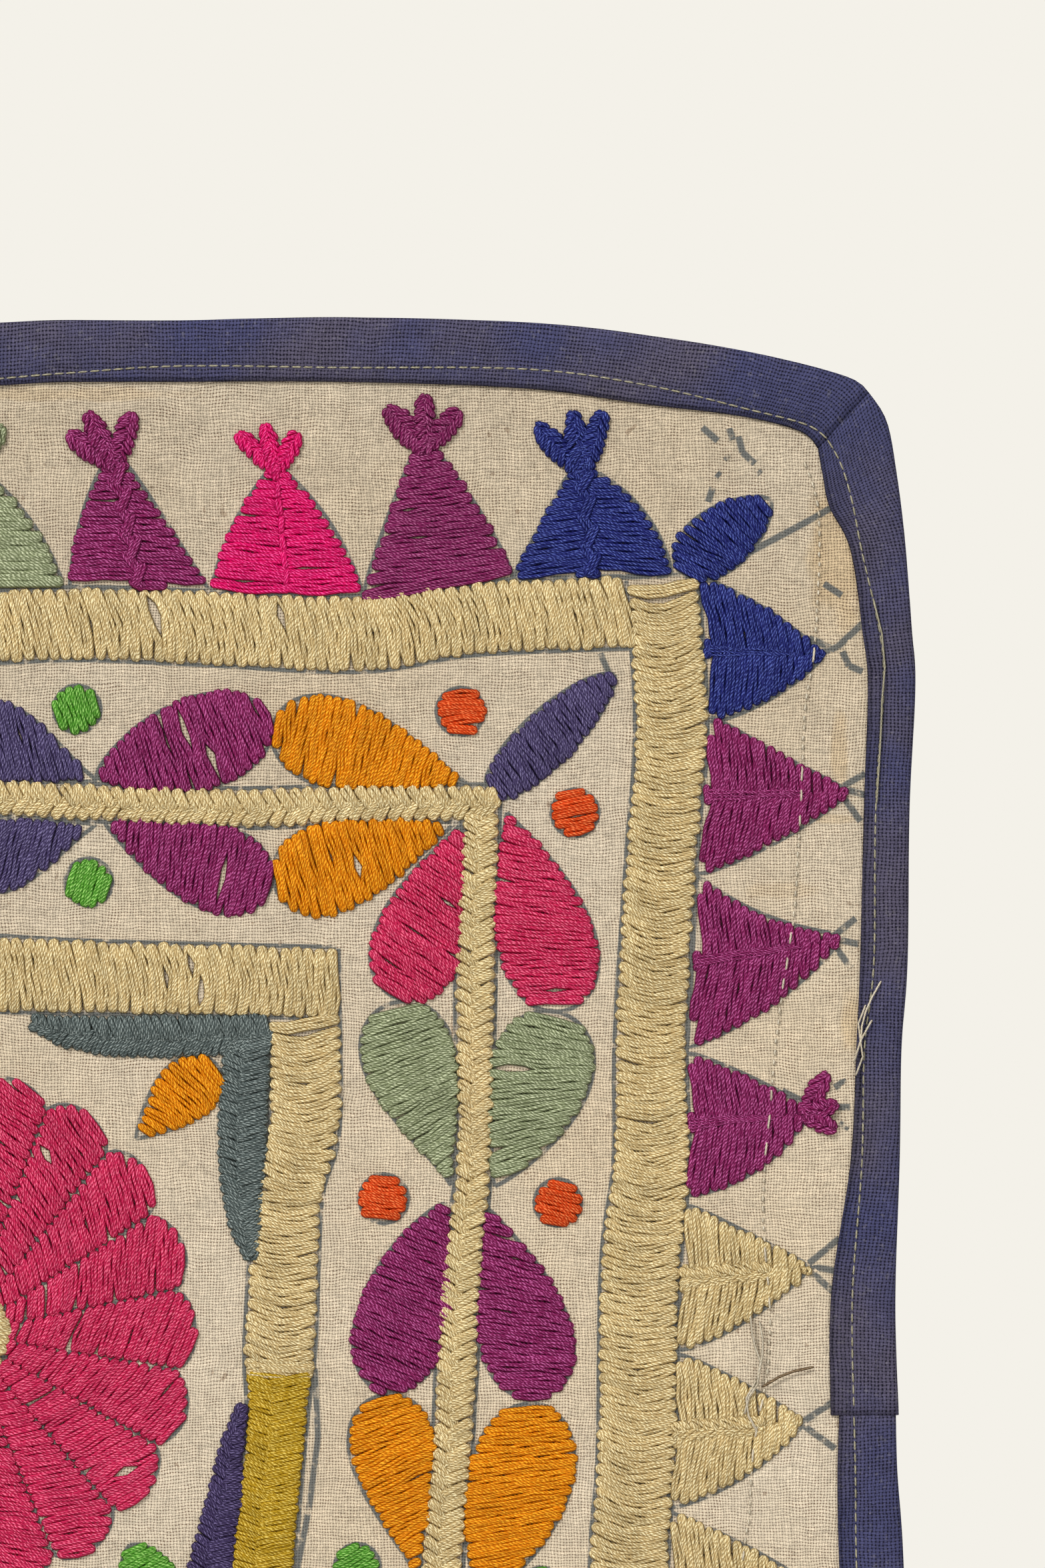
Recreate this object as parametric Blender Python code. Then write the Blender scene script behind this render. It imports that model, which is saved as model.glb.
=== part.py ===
"""An embroidered wall hanging: a near-square of ground cloth with its stitched motifs raised on the
front, and the five folded strips that bind its edge.

Tables are in millimetres, and the mesh is in metres. X runs to the right and Z up, the front faces -Y,
and the origin is the middle of the top edge, where the cloth hangs. The motifs of the upper right quarter
are laid out by tables, and the other quarters repeat them in mirror image."""

import math
from collections import namedtuple

import bmesh
import bpy
from mathutils import Vector, geometry

MM = 0.001

# Driving sizes
MIDDLE_Z = -214.0  # the line about which the lower half mirrors the upper one
HALF_WIDTH = 200.0
CLOTH = 1.0  # thickness of the ground cloth
STRIP = 1.0  # thickness of a layer of binding
GAP = 0.3  # clearance between pieces that touch
RELIEF = 0.7  # how far the embroidery stands off the cloth
EDGE_WEB = 1.2  # binding folded round the cloth's edge
FOLD_FLAT = 1.0  # how far in from the edge the fold has become flat
FOLD_EASE = 0.3  # how far in the fold's shoulder lies
FOLD_DROP = 0.5  # how far the shoulder lies below the flat
NOSE = 0.5  # half of the straight part of the fold
STATION = 11.0  # spacing of the sections along a strip
GRID = 20.0  # spacing of the plain points that let the cloth's front undulate
BACK_GRID = 24.0  # the same on its back
LEAST_STEP = 4.4  # plain points nearer than this to an outline are left out
COURSE_STEP = 22.0  # spacing of the outline points along a frame or a stem
CLEAR = 0.6  # bare cloth left between neighbouring motifs
LOWER_VINE = 0.93  # width of the vine's lower run, as a share of its upper run
LOWER_ROW = 0.955  # width of the lower row of triangles, as a share of the upper row

# The binding, from the middle of the top edge round to the join on the right side: its outer edge and its
# inner edge at the same station.
Binding = namedtuple("Binding", "outer_x outer_z inner_x inner_z")
TOP_BINDING = [
    Binding(0.0, 0.0, 0.0, -13.0),
    Binding(20.0, 0.8, 20.0, -12.0),
    Binding(45.0, 0.7, 45.0, -11.9),
    Binding(80.0, 1.3, 79.0, -12.0),
    Binding(120.0, 0.1, 118.0, -13.4),
    Binding(146.0, -2.9, 143.0, -16.7),
    Binding(168.0, -6.7, 164.0, -19.4),
    Binding(185.6, -11.3, 176.0, -22.6),
    Binding(190.1, -14.6, 179.6, -26.2),
]
RIGHT_UPPER_BINDING = [
    Binding(190.1, -14.6, 179.6, -26.2),
    Binding(193.8, -20.7, 180.6, -32.0),
    Binding(195.9, -32.0, 182.0, -38.5),
    Binding(197.6, -46.0, 186.4, -47.5),
    Binding(199.0, -64.0, 189.0, -65.0),
    Binding(199.8, -76.0, 190.1, -76.0),
    Binding(198.6, -102.0, 189.3, -102.0),
    Binding(198.2, -134.0, 188.5, -134.0),
    Binding(196.9, -152.0, 187.7, -152.0),
    Binding(196.5, -176.0, 186.5, -176.0),
    Binding(195.6, -205.0, 182.4, -204.0),
    Binding(196.3, -229.0, 182.3, -229.0),
]
RIGHT_LOWER_BINDING = [
    Binding(195.7, -229.0, 184.1, -229.0),
    Binding(196.0, -241.0, 183.7, -242.0),
    Binding(197.3, -261.0, 184.1, -261.0),
    Binding(197.9, -300.0, 186.0, -300.0),
    Binding(198.6, -338.0, 187.6, -338.0),
    Binding(198.4, -366.0, 187.2, -366.0),
    Binding(195.6, -396.0, 182.2, -391.0),
    Binding(190.1, -413.4, 179.6, -401.8),
]
LEFT_BINDING = [
    Binding(-190.1, -14.6, -179.6, -26.2),
    Binding(-195.4, -32.0, -182.4, -36.0),
    Binding(-198.6, -66.0, -187.6, -66.0),
    Binding(-197.6, -112.0, -186.0, -112.0),
    Binding(-198.8, -168.0, -187.2, -168.0),
    Binding(-197.2, -220.0, -185.0, -220.0),
    Binding(-198.4, -276.0, -186.8, -276.0),
    Binding(-199.4, -338.0, -187.8, -338.0),
    Binding(-196.2, -392.0, -182.8, -388.0),
    Binding(-190.1, -413.4, -179.6, -401.8),
]

# Embroidered frames, from the middle of the top down the right side to the middle of the bottom. A row
# whose corner is true turns sharply.
Course = namedtuple("Course", "x z half_width corner", defaults=(False,))
OUTER_FRAME = [
    Course(0.0, -63.8, 7.0),
    Course(24.0, -62.9, 7.1),
    Course(50.0, -63.8, 7.2),
    Course(83.0, -65.1, 7.4),
    Course(103.0, -62.4, 7.0),
    Course(119.0, -61.2, 7.1),
    Course(147.3, -60.4, 7.0, True),
    Course(148.7, -86.0, 7.0),
    Course(146.6, -112.0, 6.8),
    Course(144.4, -150.0, 7.0),
    Course(144.6, -176.0, 7.4),
    Course(142.3, -198.0, 7.8),
    Course(141.4, -238.0, 7.6),
    Course(139.8, -261.0, 7.6),
    Course(139.6, -310.0, 7.2),
    Course(140.6, -367.4, 7.0, True),
    Course(96.0, -365.2, 7.1),
    Course(48.0, -366.6, 7.2),
    Course(0.0, -365.0, 7.0),
]
VINE_STEM = [
    Course(0.0, -99.2, 3.4),
    Course(27.0, -100.5, 3.3),
    Course(57.0, -101.7, 3.6),
    Course(84.0, -100.8, 3.4),
    Course(108.9, -100.6, 3.3, True),
    Course(107.6, -136.0, 3.7),
    Course(107.2, -176.0, 3.1),
    Course(104.6, -200.0, 3.8),
    Course(102.8, -234.0, 3.7),
    Course(100.6, -261.0, 3.8),
    Course(100.2, -300.0, 3.4),
    Course(101.4, -327.4, 3.3, True),
    Course(52.0, -326.4, 3.6),
    Course(0.0, -328.4, 3.4),
]
INNER_FRAME = [
    Course(0.0, -136.3, 7.5),
    Course(26.0, -137.2, 7.1),
    Course(71.4, -138.2, 6.9, True),
    Course(71.6, -168.0, 6.9),
    Course(68.3, -183.0, 6.5),
    Course(66.5, -214.0, 6.9),
    Course(65.7, -232.0, 5.8),
    Course(62.8, -261.0, 6.4),
    Course(62.2, -289.8, 6.8, True),
    Course(30.0, -291.2, 7.1),
    Course(0.0, -290.4, 7.3),
]

# Leaves, from the pointed tip to the round end. belly is how far along the widest place lies.
Leaf = namedtuple("Leaf", "tip_x tip_z end_x end_z half_width belly")
LEAF_SHARES = (0.2, 0.4, 0.58, 0.74, 0.88, 0.98)  # how far along a leaf its outline has points
TOP_LEAVES = [
    Leaf(105.6, -96.4, 65.6, -84.0, 9.0, 0.70),
    Leaf(102.6, -105.0, 65.6, -118.4, 9.2, 0.70),
    Leaf(30.0, -96.0, 64.4, -84.4, 9.0, 0.68),
    Leaf(30.2, -104.8, 64.4, -118.8, 8.8, 0.68),
    Leaf(27.6, -95.8, 0.8, -84.6, 8.0, 0.66),
    Leaf(27.4, -105.2, 0.8, -114.4, 7.8, 0.66),
]
RIGHT_LEAVES = [
    Leaf(103.6, -107.2, 91.2, -141.6, 9.2, 0.70),
    Leaf(113.8, -104.4, 125.4, -143.4, 9.8, 0.68),
    Leaf(102.4, -180.8, 91.4, -142.8, 9.6, 0.72),
    Leaf(111.8, -180.8, 125.0, -144.8, 10.2, 0.68),
    Leaf(100.4, -186.2, 87.4, -224.0, 9.4, 0.68),
    Leaf(110.0, -186.0, 122.0, -225.4, 9.6, 0.68),
    Leaf(95.2, -262.4, 88.2, -225.4, 8.6, 0.72),
    Leaf(106.6, -264.8, 120.6, -226.8, 9.6, 0.70),
    Leaf(95.0, -267.4, 86.4, -293.4, 7.2, 0.66),
    Leaf(106.0, -267.4, 115.4, -293.4, 7.4, 0.66),
    Leaf(95.4, -319.6, 86.4, -294.8, 7.2, 0.66),
    Leaf(106.2, -320.6, 115.4, -294.8, 7.4, 0.66),
]
# Leaves that stand singly at the upper and the lower corners of the frames
UPPER_CORNER_LEAVES = [
    Leaf(136.2, -74.6, 112.4, -94.0, 4.8, 0.52),
    Leaf(168.6, -37.2, 150.6, -51.0, 6.8, 0.54),
    Leaf(38.0, -170.2, 52.2, -156.2, 5.6, 0.54),
]
LOWER_CORNER_LEAVES = [
    Leaf(128.4, -353.2, 105.6, -334.4, 4.8, 0.52),
    Leaf(167.4, -391.0, 150.0, -377.2, 6.8, 0.54),
    Leaf(35.0, -256.4, 44.4, -272.2, 5.2, 0.54),
]

# The long swells in which the cloth hangs. fade is how strongly one dies away towards the middle.
Swell = namedtuple("Swell", "height run_x run_z start fade")
SWELLS = [
    Swell(0.9, 37.0, 140.0, 0.7, 0),
    Swell(0.8, -95.0, 33.0, 1.9, 0),
    Swell(0.55, 15.0, 19.0, 0.0, 3),
]

Dot = namedtuple("Dot", "x z radius")
TOP_DOTS = [
    Dot(23.9, -80.9, 4.5),
    Dot(26.2, -117.4, 4.3),
    Dot(104.7, -81.3, 4.5),
    Dot(128.4, -102.4, 4.5),
]
RIGHT_DOTS = [
    Dot(86.4, -183.6, 4.5),
    Dot(124.8, -184.6, 4.5),
    Dot(81.6, -261.0, 4.3),
    Dot(121.0, -266.0, 4.3),
]

# Triangles that stand on the outer frame: where the base starts and ends along the frame, and the apex.
# tuft is the height of the three-lobed tuft on it, or 0.
Peak = namedtuple("Peak", "base_from base_to apex_along apex_out tuft")
TOP_PEAKS = [
    Peak(-20.6, 20.6, 1.0, -30.5, 11.0),
    Peak(22.4, 51.0, 31.4, -30.4, 11.0),
    Peak(52.4, 83.2, 65.6, -32.2, 9.5),
    Peak(84.6, 115.0, 96.6, -27.6, 12.0),
    Peak(116.6, 147.4, 130.2, -31.6, 12.5),
]
RIGHT_PEAKS = [
    Peak(-55.6, -82.2, -69.2, 179.0, 0.0),
    Peak(-83.8, -115.0, -97.3, 183.4, 0.0),
    Peak(-117.0, -151.6, -128.8, 181.8, 0.0),
    Peak(-153.4, -182.4, -163.8, 175.0, 9.0),
    Peak(-185.4, -214.8, -197.4, 177.0, 0.0),
    Peak(-216.8, -248.0, -230.6, 175.6, 0.0),
    Peak(-249.6, -280.0, -264.4, 175.4, 0.0),
    Peak(-281.6, -311.0, -296.4, 176.6, 0.0),
    Peak(-312.6, -342.4, -327.8, 178.2, 0.0),
    Peak(-344.0, -371.6, -358.6, 177.4, 0.0),
]

# Half of a tuft's three lobes, in shares of its height, from its left side to its middle
Lobe = namedtuple("Lobe", "aside out")
HALF_TUFT = [
    Lobe(-0.70, 0.60),
    Lobe(-0.50, 0.90),
    Lobe(-0.18, 0.54),
    Lobe(-0.16, 1.0),
]
TUFT = HALF_TUFT + [Lobe(-p.aside, p.out) for p in HALF_TUFT[::-1]]
NECK = 1.4  # half of the width between a triangle and its tuft
DRAWN_IN = 0.02  # how far a triangle's sides are drawn in, as a share of half of its base

# The pointed brackets inside the upper and the lower corner of the inner frame
Place = namedtuple("Place", "x z")
UPPER_BRACKET = [
    Place(14.4, -146.9),
    Place(21.0, -151.2),
    Place(36.0, -153.6),
    Place(55.6, -152.6),
    Place(53.4, -170.0),
    Place(54.6, -188.0),
    Place(59.6, -197.0),
    Place(61.0, -184.0),
    Place(63.2, -170.0),
    Place(63.9, -146.5),
    Place(38.0, -146.3),
]
LOWER_BRACKET = [
    Place(58.8, -226.5),
    Place(54.6, -236.6),
    Place(52.4, -245.0),
    Place(48.3, -261.0),
    Place(46.4, -275.4),
    Place(32.0, -274.8),
    Place(18.0, -277.4),
    Place(12.4, -282.0),
    Place(54.4, -282.2),
    Place(55.6, -262.0),
    Place(57.8, -245.0),
]

# The flower in the middle
FLOWER_Z = -212.0
FLOWER_HALF_WIDTH = 48.6
FLOWER_HALF_HEIGHT = 54.4
PETALS = 19
PETAL_POINTS = 4  # outline points to a petal
PETAL_TURN = 13.2  # degrees from straight up to the first petal's tip
PETAL_DIP = 0.085  # depth of the notch between petals, as a share of the radius
EYE_RADIUS = 9.6
EYE_GROOVE = 1.2
EYE_SIDES = 16
DOT_SIDES = 9


def undulation(x, z):
    """How far the hanging cloth stands from a flat sheet at a place, in millimetres."""
    from_middle = math.hypot(x / HALF_WIDTH, (z - MIDDLE_Z) / MIDDLE_Z)
    total = 0.0
    for swell in SWELLS:
        height = swell.height * min(1.0, from_middle ** swell.fade)
        total += height * math.sin(x / swell.run_x + z / swell.run_z + swell.start)
    return total


def spline(rows, samples):
    """Points of a smooth curve through rows of numbers, samples to each span, as tuples."""
    points = []
    last = len(rows) - 1
    for i in range(last):
        before, start = rows[max(i - 1, 0)], rows[i]
        end, after = rows[i + 1], rows[min(i + 2, last)]
        for s in range(samples):
            t = s / samples
            points.append(
                tuple(
                    0.5 * (2 * b + (c - a) * t + (2 * a - 5 * b + 4 * c - d) * t * t
                           + (3 * b - a - 3 * c + d) * t ** 3)
                    for a, b, c, d in zip(before, start, end, after)
                )
            )
    points.append(tuple(rows[last]))
    return points


def even_rows(rows, spacing):
    """The curve through the rows, read at steps of about spacing along its first two columns."""
    fine = spline(rows, 12)
    lengths = [0.0]
    for a, b in zip(fine, fine[1:]):
        lengths.append(lengths[-1] + math.dist(a[:2], b[:2]))
    steps = max(2, round(lengths[-1] / spacing))
    picked = []
    at = 0
    for s in range(steps + 1):
        wanted = lengths[-1] * s / steps
        while at < len(fine) - 2 and lengths[at + 1] < wanted:
            at += 1
        share = (wanted - lengths[at]) / max(lengths[at + 1] - lengths[at], 1e-9)
        picked.append(tuple(p + (q - p) * share for p, q in zip(fine[at], fine[at + 1])))
    return picked


def mirrored(rows):
    """A binding table turned over from right to left or from left to right."""
    return [Binding(-r.outer_x, r.outer_z, -r.inner_x, r.inner_z) for r in rows]


def upside_down(rows):
    """A binding table turned over from top to bottom."""
    return [
        Binding(r.outer_x, 2 * MIDDLE_Z - r.outer_z, r.inner_x, 2 * MIDDLE_Z - r.inner_z)
        for r in rows
    ]


def top_strip():
    """The whole top strip, left to right."""
    return mirrored(TOP_BINDING)[:0:-1] + TOP_BINDING


def strip_tables():
    """Each strip's name and its rows."""
    return {
        "binding_top": top_strip(),
        "binding_right_upper": RIGHT_UPPER_BINDING,
        "binding_right_lower": RIGHT_LOWER_BINDING,
        "binding_bottom": upside_down(top_strip()),
        "binding_left": LEFT_BINDING,
    }


def strip_stations(rows):
    """Sections along a strip, drawn back at both ends by half of the gap."""
    stations = even_rows(rows, STATION)
    for end, inner in ((0, 1), (-1, -2)):
        here, there = stations[end], stations[inner]
        share = 0.5 * GAP / math.dist(here[:2], there[:2])
        share = max(share, 0.5 * GAP / math.dist(here[2:], there[2:]))
        stations[end] = tuple(h + (t - h) * share for h, t in zip(here, there))
    return stations


def binding_section(width):
    """The folded strip's section: how far in from its outer edge, and how far back from the middle."""
    layer = CLOTH / 2 + GAP
    face = layer + STRIP
    outside = [(width, face), (FOLD_FLAT, face), (FOLD_EASE, face - FOLD_DROP), (0.0, NOSE)]
    inside = [(width, layer), (EDGE_WEB, layer)]
    front = [(inward, -back) for inward, back in outside]
    slot = [(inward, -back) for inward, back in inside]
    return front + outside[::-1] + inside + slot[::-1]


def make_object(name, bm, look):
    """The bmesh as an object of its own, undulating like the rest of the cloth."""
    for v in bm.verts:
        v.co.y += undulation(v.co.x, v.co.z)
    bmesh.ops.recalc_face_normals(bm, faces=bm.faces)
    bmesh.ops.scale(bm, vec=(MM, MM, MM), verts=bm.verts)
    mesh = bpy.data.meshes.new(name)
    bm.to_mesh(mesh)
    bm.free()
    mesh.materials.append(look)
    made = bpy.data.objects.new(name, mesh)
    bpy.context.scene.collection.objects.link(made)
    return made


def make_material(name, colour, roughness):
    """A plain cloth finish."""
    look = bpy.data.materials.new(name)
    look.use_nodes = True
    shader = look.node_tree.nodes["Principled BSDF"]
    shader.inputs["Base Color"].default_value = (*colour, 1.0)
    shader.inputs["Roughness"].default_value = roughness
    shader.inputs["Metallic"].default_value = 0.0
    return look


def make_strip(name, rows, look):
    """One folded binding strip, lofted along the edge of the cloth."""
    bm = bmesh.new()
    rings = []
    for outer_x, outer_z, inner_x, inner_z in strip_stations(rows):
        width = math.dist((outer_x, outer_z), (inner_x, inner_z))
        ring = []
        for inward, back in binding_section(width):
            share = inward / width
            x = outer_x + (inner_x - outer_x) * share
            z = outer_z + (inner_z - outer_z) * share
            ring.append(bm.verts.new((x, back, z)))
        rings.append(ring)
    for one, two in zip(rings, rings[1:]):
        for k in range(len(one)):
            j = (k + 1) % len(one)
            bm.faces.new((one[k], one[j], two[j], two[k]))
    bm.faces.new(rings[0])
    bm.faces.new(rings[-1])
    bmesh.ops.triangulate(bm, faces=bm.faces)
    return make_object(name, bm, look)


def cloth_edge():
    """The outline of the ground cloth, which lies inside the folded strips."""
    tables = strip_tables()
    round_trip = (
        ("binding_top", False), ("binding_right_upper", False), ("binding_right_lower", False),
        ("binding_bottom", True), ("binding_left", True),
    )
    edge = []
    for name, backwards in round_trip:
        rows = even_rows(tables[name], STATION)
        if backwards:
            rows = rows[::-1]
        for outer_x, outer_z, inner_x, inner_z in rows[:-1]:
            width = math.dist((outer_x, outer_z), (inner_x, inner_z))
            share = (EDGE_WEB + GAP) / width
            edge.append((outer_x + (inner_x - outer_x) * share, outer_z + (inner_z - outer_z) * share))
    return edge


def course_rows(rows, spacing):
    """A course's rows smoothed between its corners, all the way round, as (x, z, half width)."""
    runs = [[]]
    for row in rows:
        runs[-1].append(row[:3])
        if row.corner:
            runs.append([row[:3]])
    half = []
    for run in runs:
        half += even_rows(run, spacing)[:-1]
    half.append(rows[-1][:3])
    return half + [(-x, z, w) for x, z, w in half[-2:0:-1]]


def course_loop(rows, side):
    """One edge of a closed course: side is 1 for its outer edge and -1 for its inner one."""
    loop = []
    count = len(rows)
    for k, (x, z, half_width) in enumerate(rows):
        before, after = rows[k - 1], rows[(k + 1) % count]
        into = Vector((x - before[0], z - before[1])).normalized()
        out_of = Vector((after[0] - x, after[1] - z)).normalized()
        normal = Vector((-(into.y + out_of.y), into.x + out_of.x)).normalized()
        reach = half_width / max(0.5, normal.dot(Vector((-into.y, into.x))))
        loop.append((x + normal.x * reach * side, z + normal.y * reach * side))
    return loop


def leaf_loop(leaf):
    """A teardrop outline: pointed at the tip, widest at the belly and round at the end."""
    tip = Vector((leaf.tip_x, leaf.tip_z))
    axis = Vector((leaf.end_x, leaf.end_z)) - tip
    sideways = Vector((-axis.y, axis.x)).normalized()
    rise = 0.5 * leaf.belly / (1 - leaf.belly)
    left, right = [], []
    for t in LEAF_SHARES:
        half = leaf.half_width * (t / leaf.belly) ** rise * math.sqrt((1 - t) / (1 - leaf.belly))
        middle = tip + axis * t
        left.append(tuple(middle + sideways * half))
        right.append(tuple(middle - sideways * half))
    return [tuple(tip)] + left + right[::-1]


def circle(x, z, radius, sides):
    """A round outline."""
    turn = math.tau / sides
    return [(x + radius * math.cos(k * turn), z + radius * math.sin(k * turn)) for k in range(sides)]


def dot_loop(dot):
    """A round dot."""
    return circle(dot.x, dot.z, dot.radius, DOT_SIDES)


def flower_loop():
    """The scalloped outline of the flower."""
    loop = []
    count = PETALS * PETAL_POINTS
    for k in range(count):
        angle = math.radians(PETAL_TURN) + math.tau * k / count
        round_share = math.sqrt(abs(math.cos(k * math.pi / PETAL_POINTS)))
        reach = 1 - PETAL_DIP * (1 - round_share)
        x = FLOWER_HALF_WIDTH * reach * math.sin(angle)
        z = FLOWER_Z + FLOWER_HALF_HEIGHT * reach * math.cos(angle)
        loop.append((x, z))
    return loop


def tuft_points(apex, outward, height):
    """Three lobes fanned out from a triangle's apex, from its left side to its right side."""
    right = Vector((outward.y, -outward.x))
    return [apex + right * (p.aside * height) + outward * (p.out * height) for p in TUFT]


def peak_loop(base_a, base_b, apex, tuft):
    """A triangle on its base, with its sides drawn in a little and a tuft where it has one."""
    a, b, tip = Vector(base_a), Vector(base_b), Vector(apex)
    middle = (a + b) / 2
    outward = (tip - middle).normalized()
    right = Vector((outward.y, -outward.x))
    if (b - a).dot(right) < 0:
        a, b = b, a
    crown = [tip]
    if tuft:
        crown = [tip - right * NECK, *tuft_points(tip, outward, tuft), tip + right * NECK]
    left_side = (a + crown[0]) / 2 + (middle - a) * DRAWN_IN
    right_side = (b + crown[-1]) / 2 + (middle - b) * DRAWN_IN
    return [tuple(p) for p in (a, left_side, *crown, right_side, b, middle)]


def frame_edge_at(loop, along, column, highest):
    """Where the outer edge of a frame lies: column 0 gives its x at a z, and column 1 its z at an x."""
    other = 1 - column
    found = []
    for p, q in zip(loop, loop[1:] + loop[:1]):
        low, high = sorted((p[other], q[other]))
        if low <= along <= high and high > low:
            t = (along - p[other]) / (q[other] - p[other])
            found.append(p[column] + (q[column] - p[column]) * t)
    return max(found) if highest else min(found)


def top_peak_loops(frame_outer):
    """The upper row of triangles, from the middle to the right corner."""
    loops = []
    for peak in TOP_PEAKS:
        ends = [
            (x, frame_edge_at(frame_outer, x, 1, True) + CLEAR)
            for x in (peak.base_from, peak.base_to)
        ]
        loops.append(peak_loop(*ends, (peak.apex_along, peak.apex_out), peak.tuft))
    return loops


def bottom_peak_loops(frame_outer):
    """The lower row of triangles, which is the upper one turned over and a little narrower."""
    loops = []
    for peak in TOP_PEAKS:
        base = [x * LOWER_ROW for x in (peak.base_from, peak.base_to)]
        ends = [(x, frame_edge_at(frame_outer, x, 1, False) - CLEAR) for x in base]
        apex = (peak.apex_along * LOWER_ROW, 2 * MIDDLE_Z - peak.apex_out)
        loops.append(peak_loop(*ends, apex, peak.tuft))
    return loops


def right_peak_loops(frame_outer):
    """The right column of triangles."""
    loops = []
    for peak in RIGHT_PEAKS:
        ends = [
            (frame_edge_at(frame_outer, z, 0, True) + CLEAR, z)
            for z in (peak.base_from, peak.base_to)
        ]
        loops.append(peak_loop(*ends, (peak.apex_out, peak.apex_along), peak.tuft))
    return loops


def across(loop):
    """A loop with left and right exchanged."""
    return [(-x, z) for x, z in loop]


def turned_over(loop):
    """A loop of the vine's upper run, laid out along its lower run."""
    return [(x * LOWER_VINE, 2 * MIDDLE_Z - z) for x, z in loop]


def kept_clear(loop, courses):
    """A loop with the points that come too near a frame or a stem moved off it, as stitches are crowded
    aside there. Each course is given by its rows."""
    kept = []
    for point in loop:
        spot = Vector(point)
        for rows in courses:
            for p, q in zip(rows, rows[1:] + rows[:1]):
                start = Vector(p[:2])
                side = Vector(q[:2]) - start
                share = min(1.0, max(0.0, (spot - start).dot(side) / side.length_squared))
                away = spot - start - side * share
                reach = p[2] + (q[2] - p[2]) * share + CLEAR
                if away.length < reach:
                    spot += away.normalized() * (reach - away.length)
        kept.append(tuple(spot))
    return kept


def motif_loops():
    """Every raised patch of embroidery, as a list of outlines, and the holes cut in them."""
    courses = [course_rows(course, COURSE_STEP) for course in (OUTER_FRAME, VINE_STEM, INNER_FRAME)]
    raised = [course_loop(rows, 1) for rows in courses]
    holes = [course_loop(rows, -1) for rows in courses]
    frame_outer = raised[0]
    vine = [leaf_loop(leaf) for leaf in TOP_LEAVES] + [dot_loop(dot) for dot in TOP_DOTS]
    top_peaks = top_peak_loops(frame_outer)
    bottom_peaks = bottom_peak_loops(frame_outer)
    half = vine + [turned_over(loop) for loop in vine]
    half += [leaf_loop(leaf) for leaf in RIGHT_LEAVES + UPPER_CORNER_LEAVES + LOWER_CORNER_LEAVES]
    half += [dot_loop(dot) for dot in RIGHT_DOTS]
    half += [[tuple(place) for place in bracket] for bracket in (UPPER_BRACKET, LOWER_BRACKET)]
    half += right_peak_loops(frame_outer) + top_peaks[1:] + bottom_peaks[1:]
    half = [kept_clear(loop, courses) for loop in half]
    raised += half + [across(loop) for loop in half]
    raised += [kept_clear(loop, courses) for loop in (top_peaks[0], bottom_peaks[0])]
    raised.append(flower_loop())
    holes.append(circle(0.0, FLOWER_Z, EYE_RADIUS + EYE_GROOVE, EYE_SIDES))
    raised.append(circle(0.0, FLOWER_Z, EYE_RADIUS, EYE_SIDES))
    return raised, holes


def counter_clockwise(loop):
    """The loop in the order that keeps its inside on the left."""
    area = sum(p[0] * q[1] - q[0] * p[1] for p, q in zip(loop, loop[1:] + loop[:1]))
    return loop if area > 0 else loop[::-1]


def distance_to_loops(point, loops):
    """How far a point lies from the nearest side of any loop."""
    nearest = math.inf
    here = Vector(point)
    for loop in loops:
        for p, q in zip(loop, loop[1:] + loop[:1]):
            side = Vector(q) - Vector(p)
            share = min(1.0, max(0.0, (here - Vector(p)).dot(side) / side.length_squared))
            nearest = min(nearest, (here - Vector(p) - side * share).length)
    return nearest


def plain_points(edge, loops, spacing):
    """A grid of points over the cloth, clear of its edge and of every loop."""
    points = []
    columns = round(2 * HALF_WIDTH / spacing)
    rows = round(-2 * MIDDLE_Z / spacing)
    for i in range(1, columns):
        for j in range(1, rows):
            point = ((2 * i / columns - 1) * HALF_WIDTH, 2 * MIDDLE_Z * j / rows)
            if not point_inside(point, edge):
                continue
            if distance_to_loops(point, [edge] + loops) > LEAST_STEP:
                points.append(point)
    return points


def point_inside(point, loop):
    """Whether a point lies inside a loop."""
    x, z = point
    inside = False
    for (px, pz), (qx, qz) in zip(loop, loop[1:] + loop[:1]):
        if (pz > z) != (qz > z) and x < px + (qx - px) * (z - pz) / (qz - pz):
            inside = not inside
    return inside


def triangulated(loops, points):
    """Triangles that fill the first loop and keep to the sides of the others. Gives the places, each
    triangle with the loops that hold it, and where the first loop's points went."""
    places, faces = [], []
    for loop in loops:
        faces.append(list(range(len(places), len(places) + len(loop))))
        places += [Vector(p) for p in loop]
    places += [Vector(p) for p in points]
    found = geometry.delaunay_2d_cdt(places, [], faces, 1, 1e-5, True)
    out_places, _, out_faces, origins, _, holders = found
    went = {start: k for k, starts in enumerate(origins) for start in starts}
    kept = [(face, held) for face, held in zip(out_faces, holders) if 0 in held]
    return out_places, kept, [went[k] for k in range(len(loops[0]))]


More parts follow.
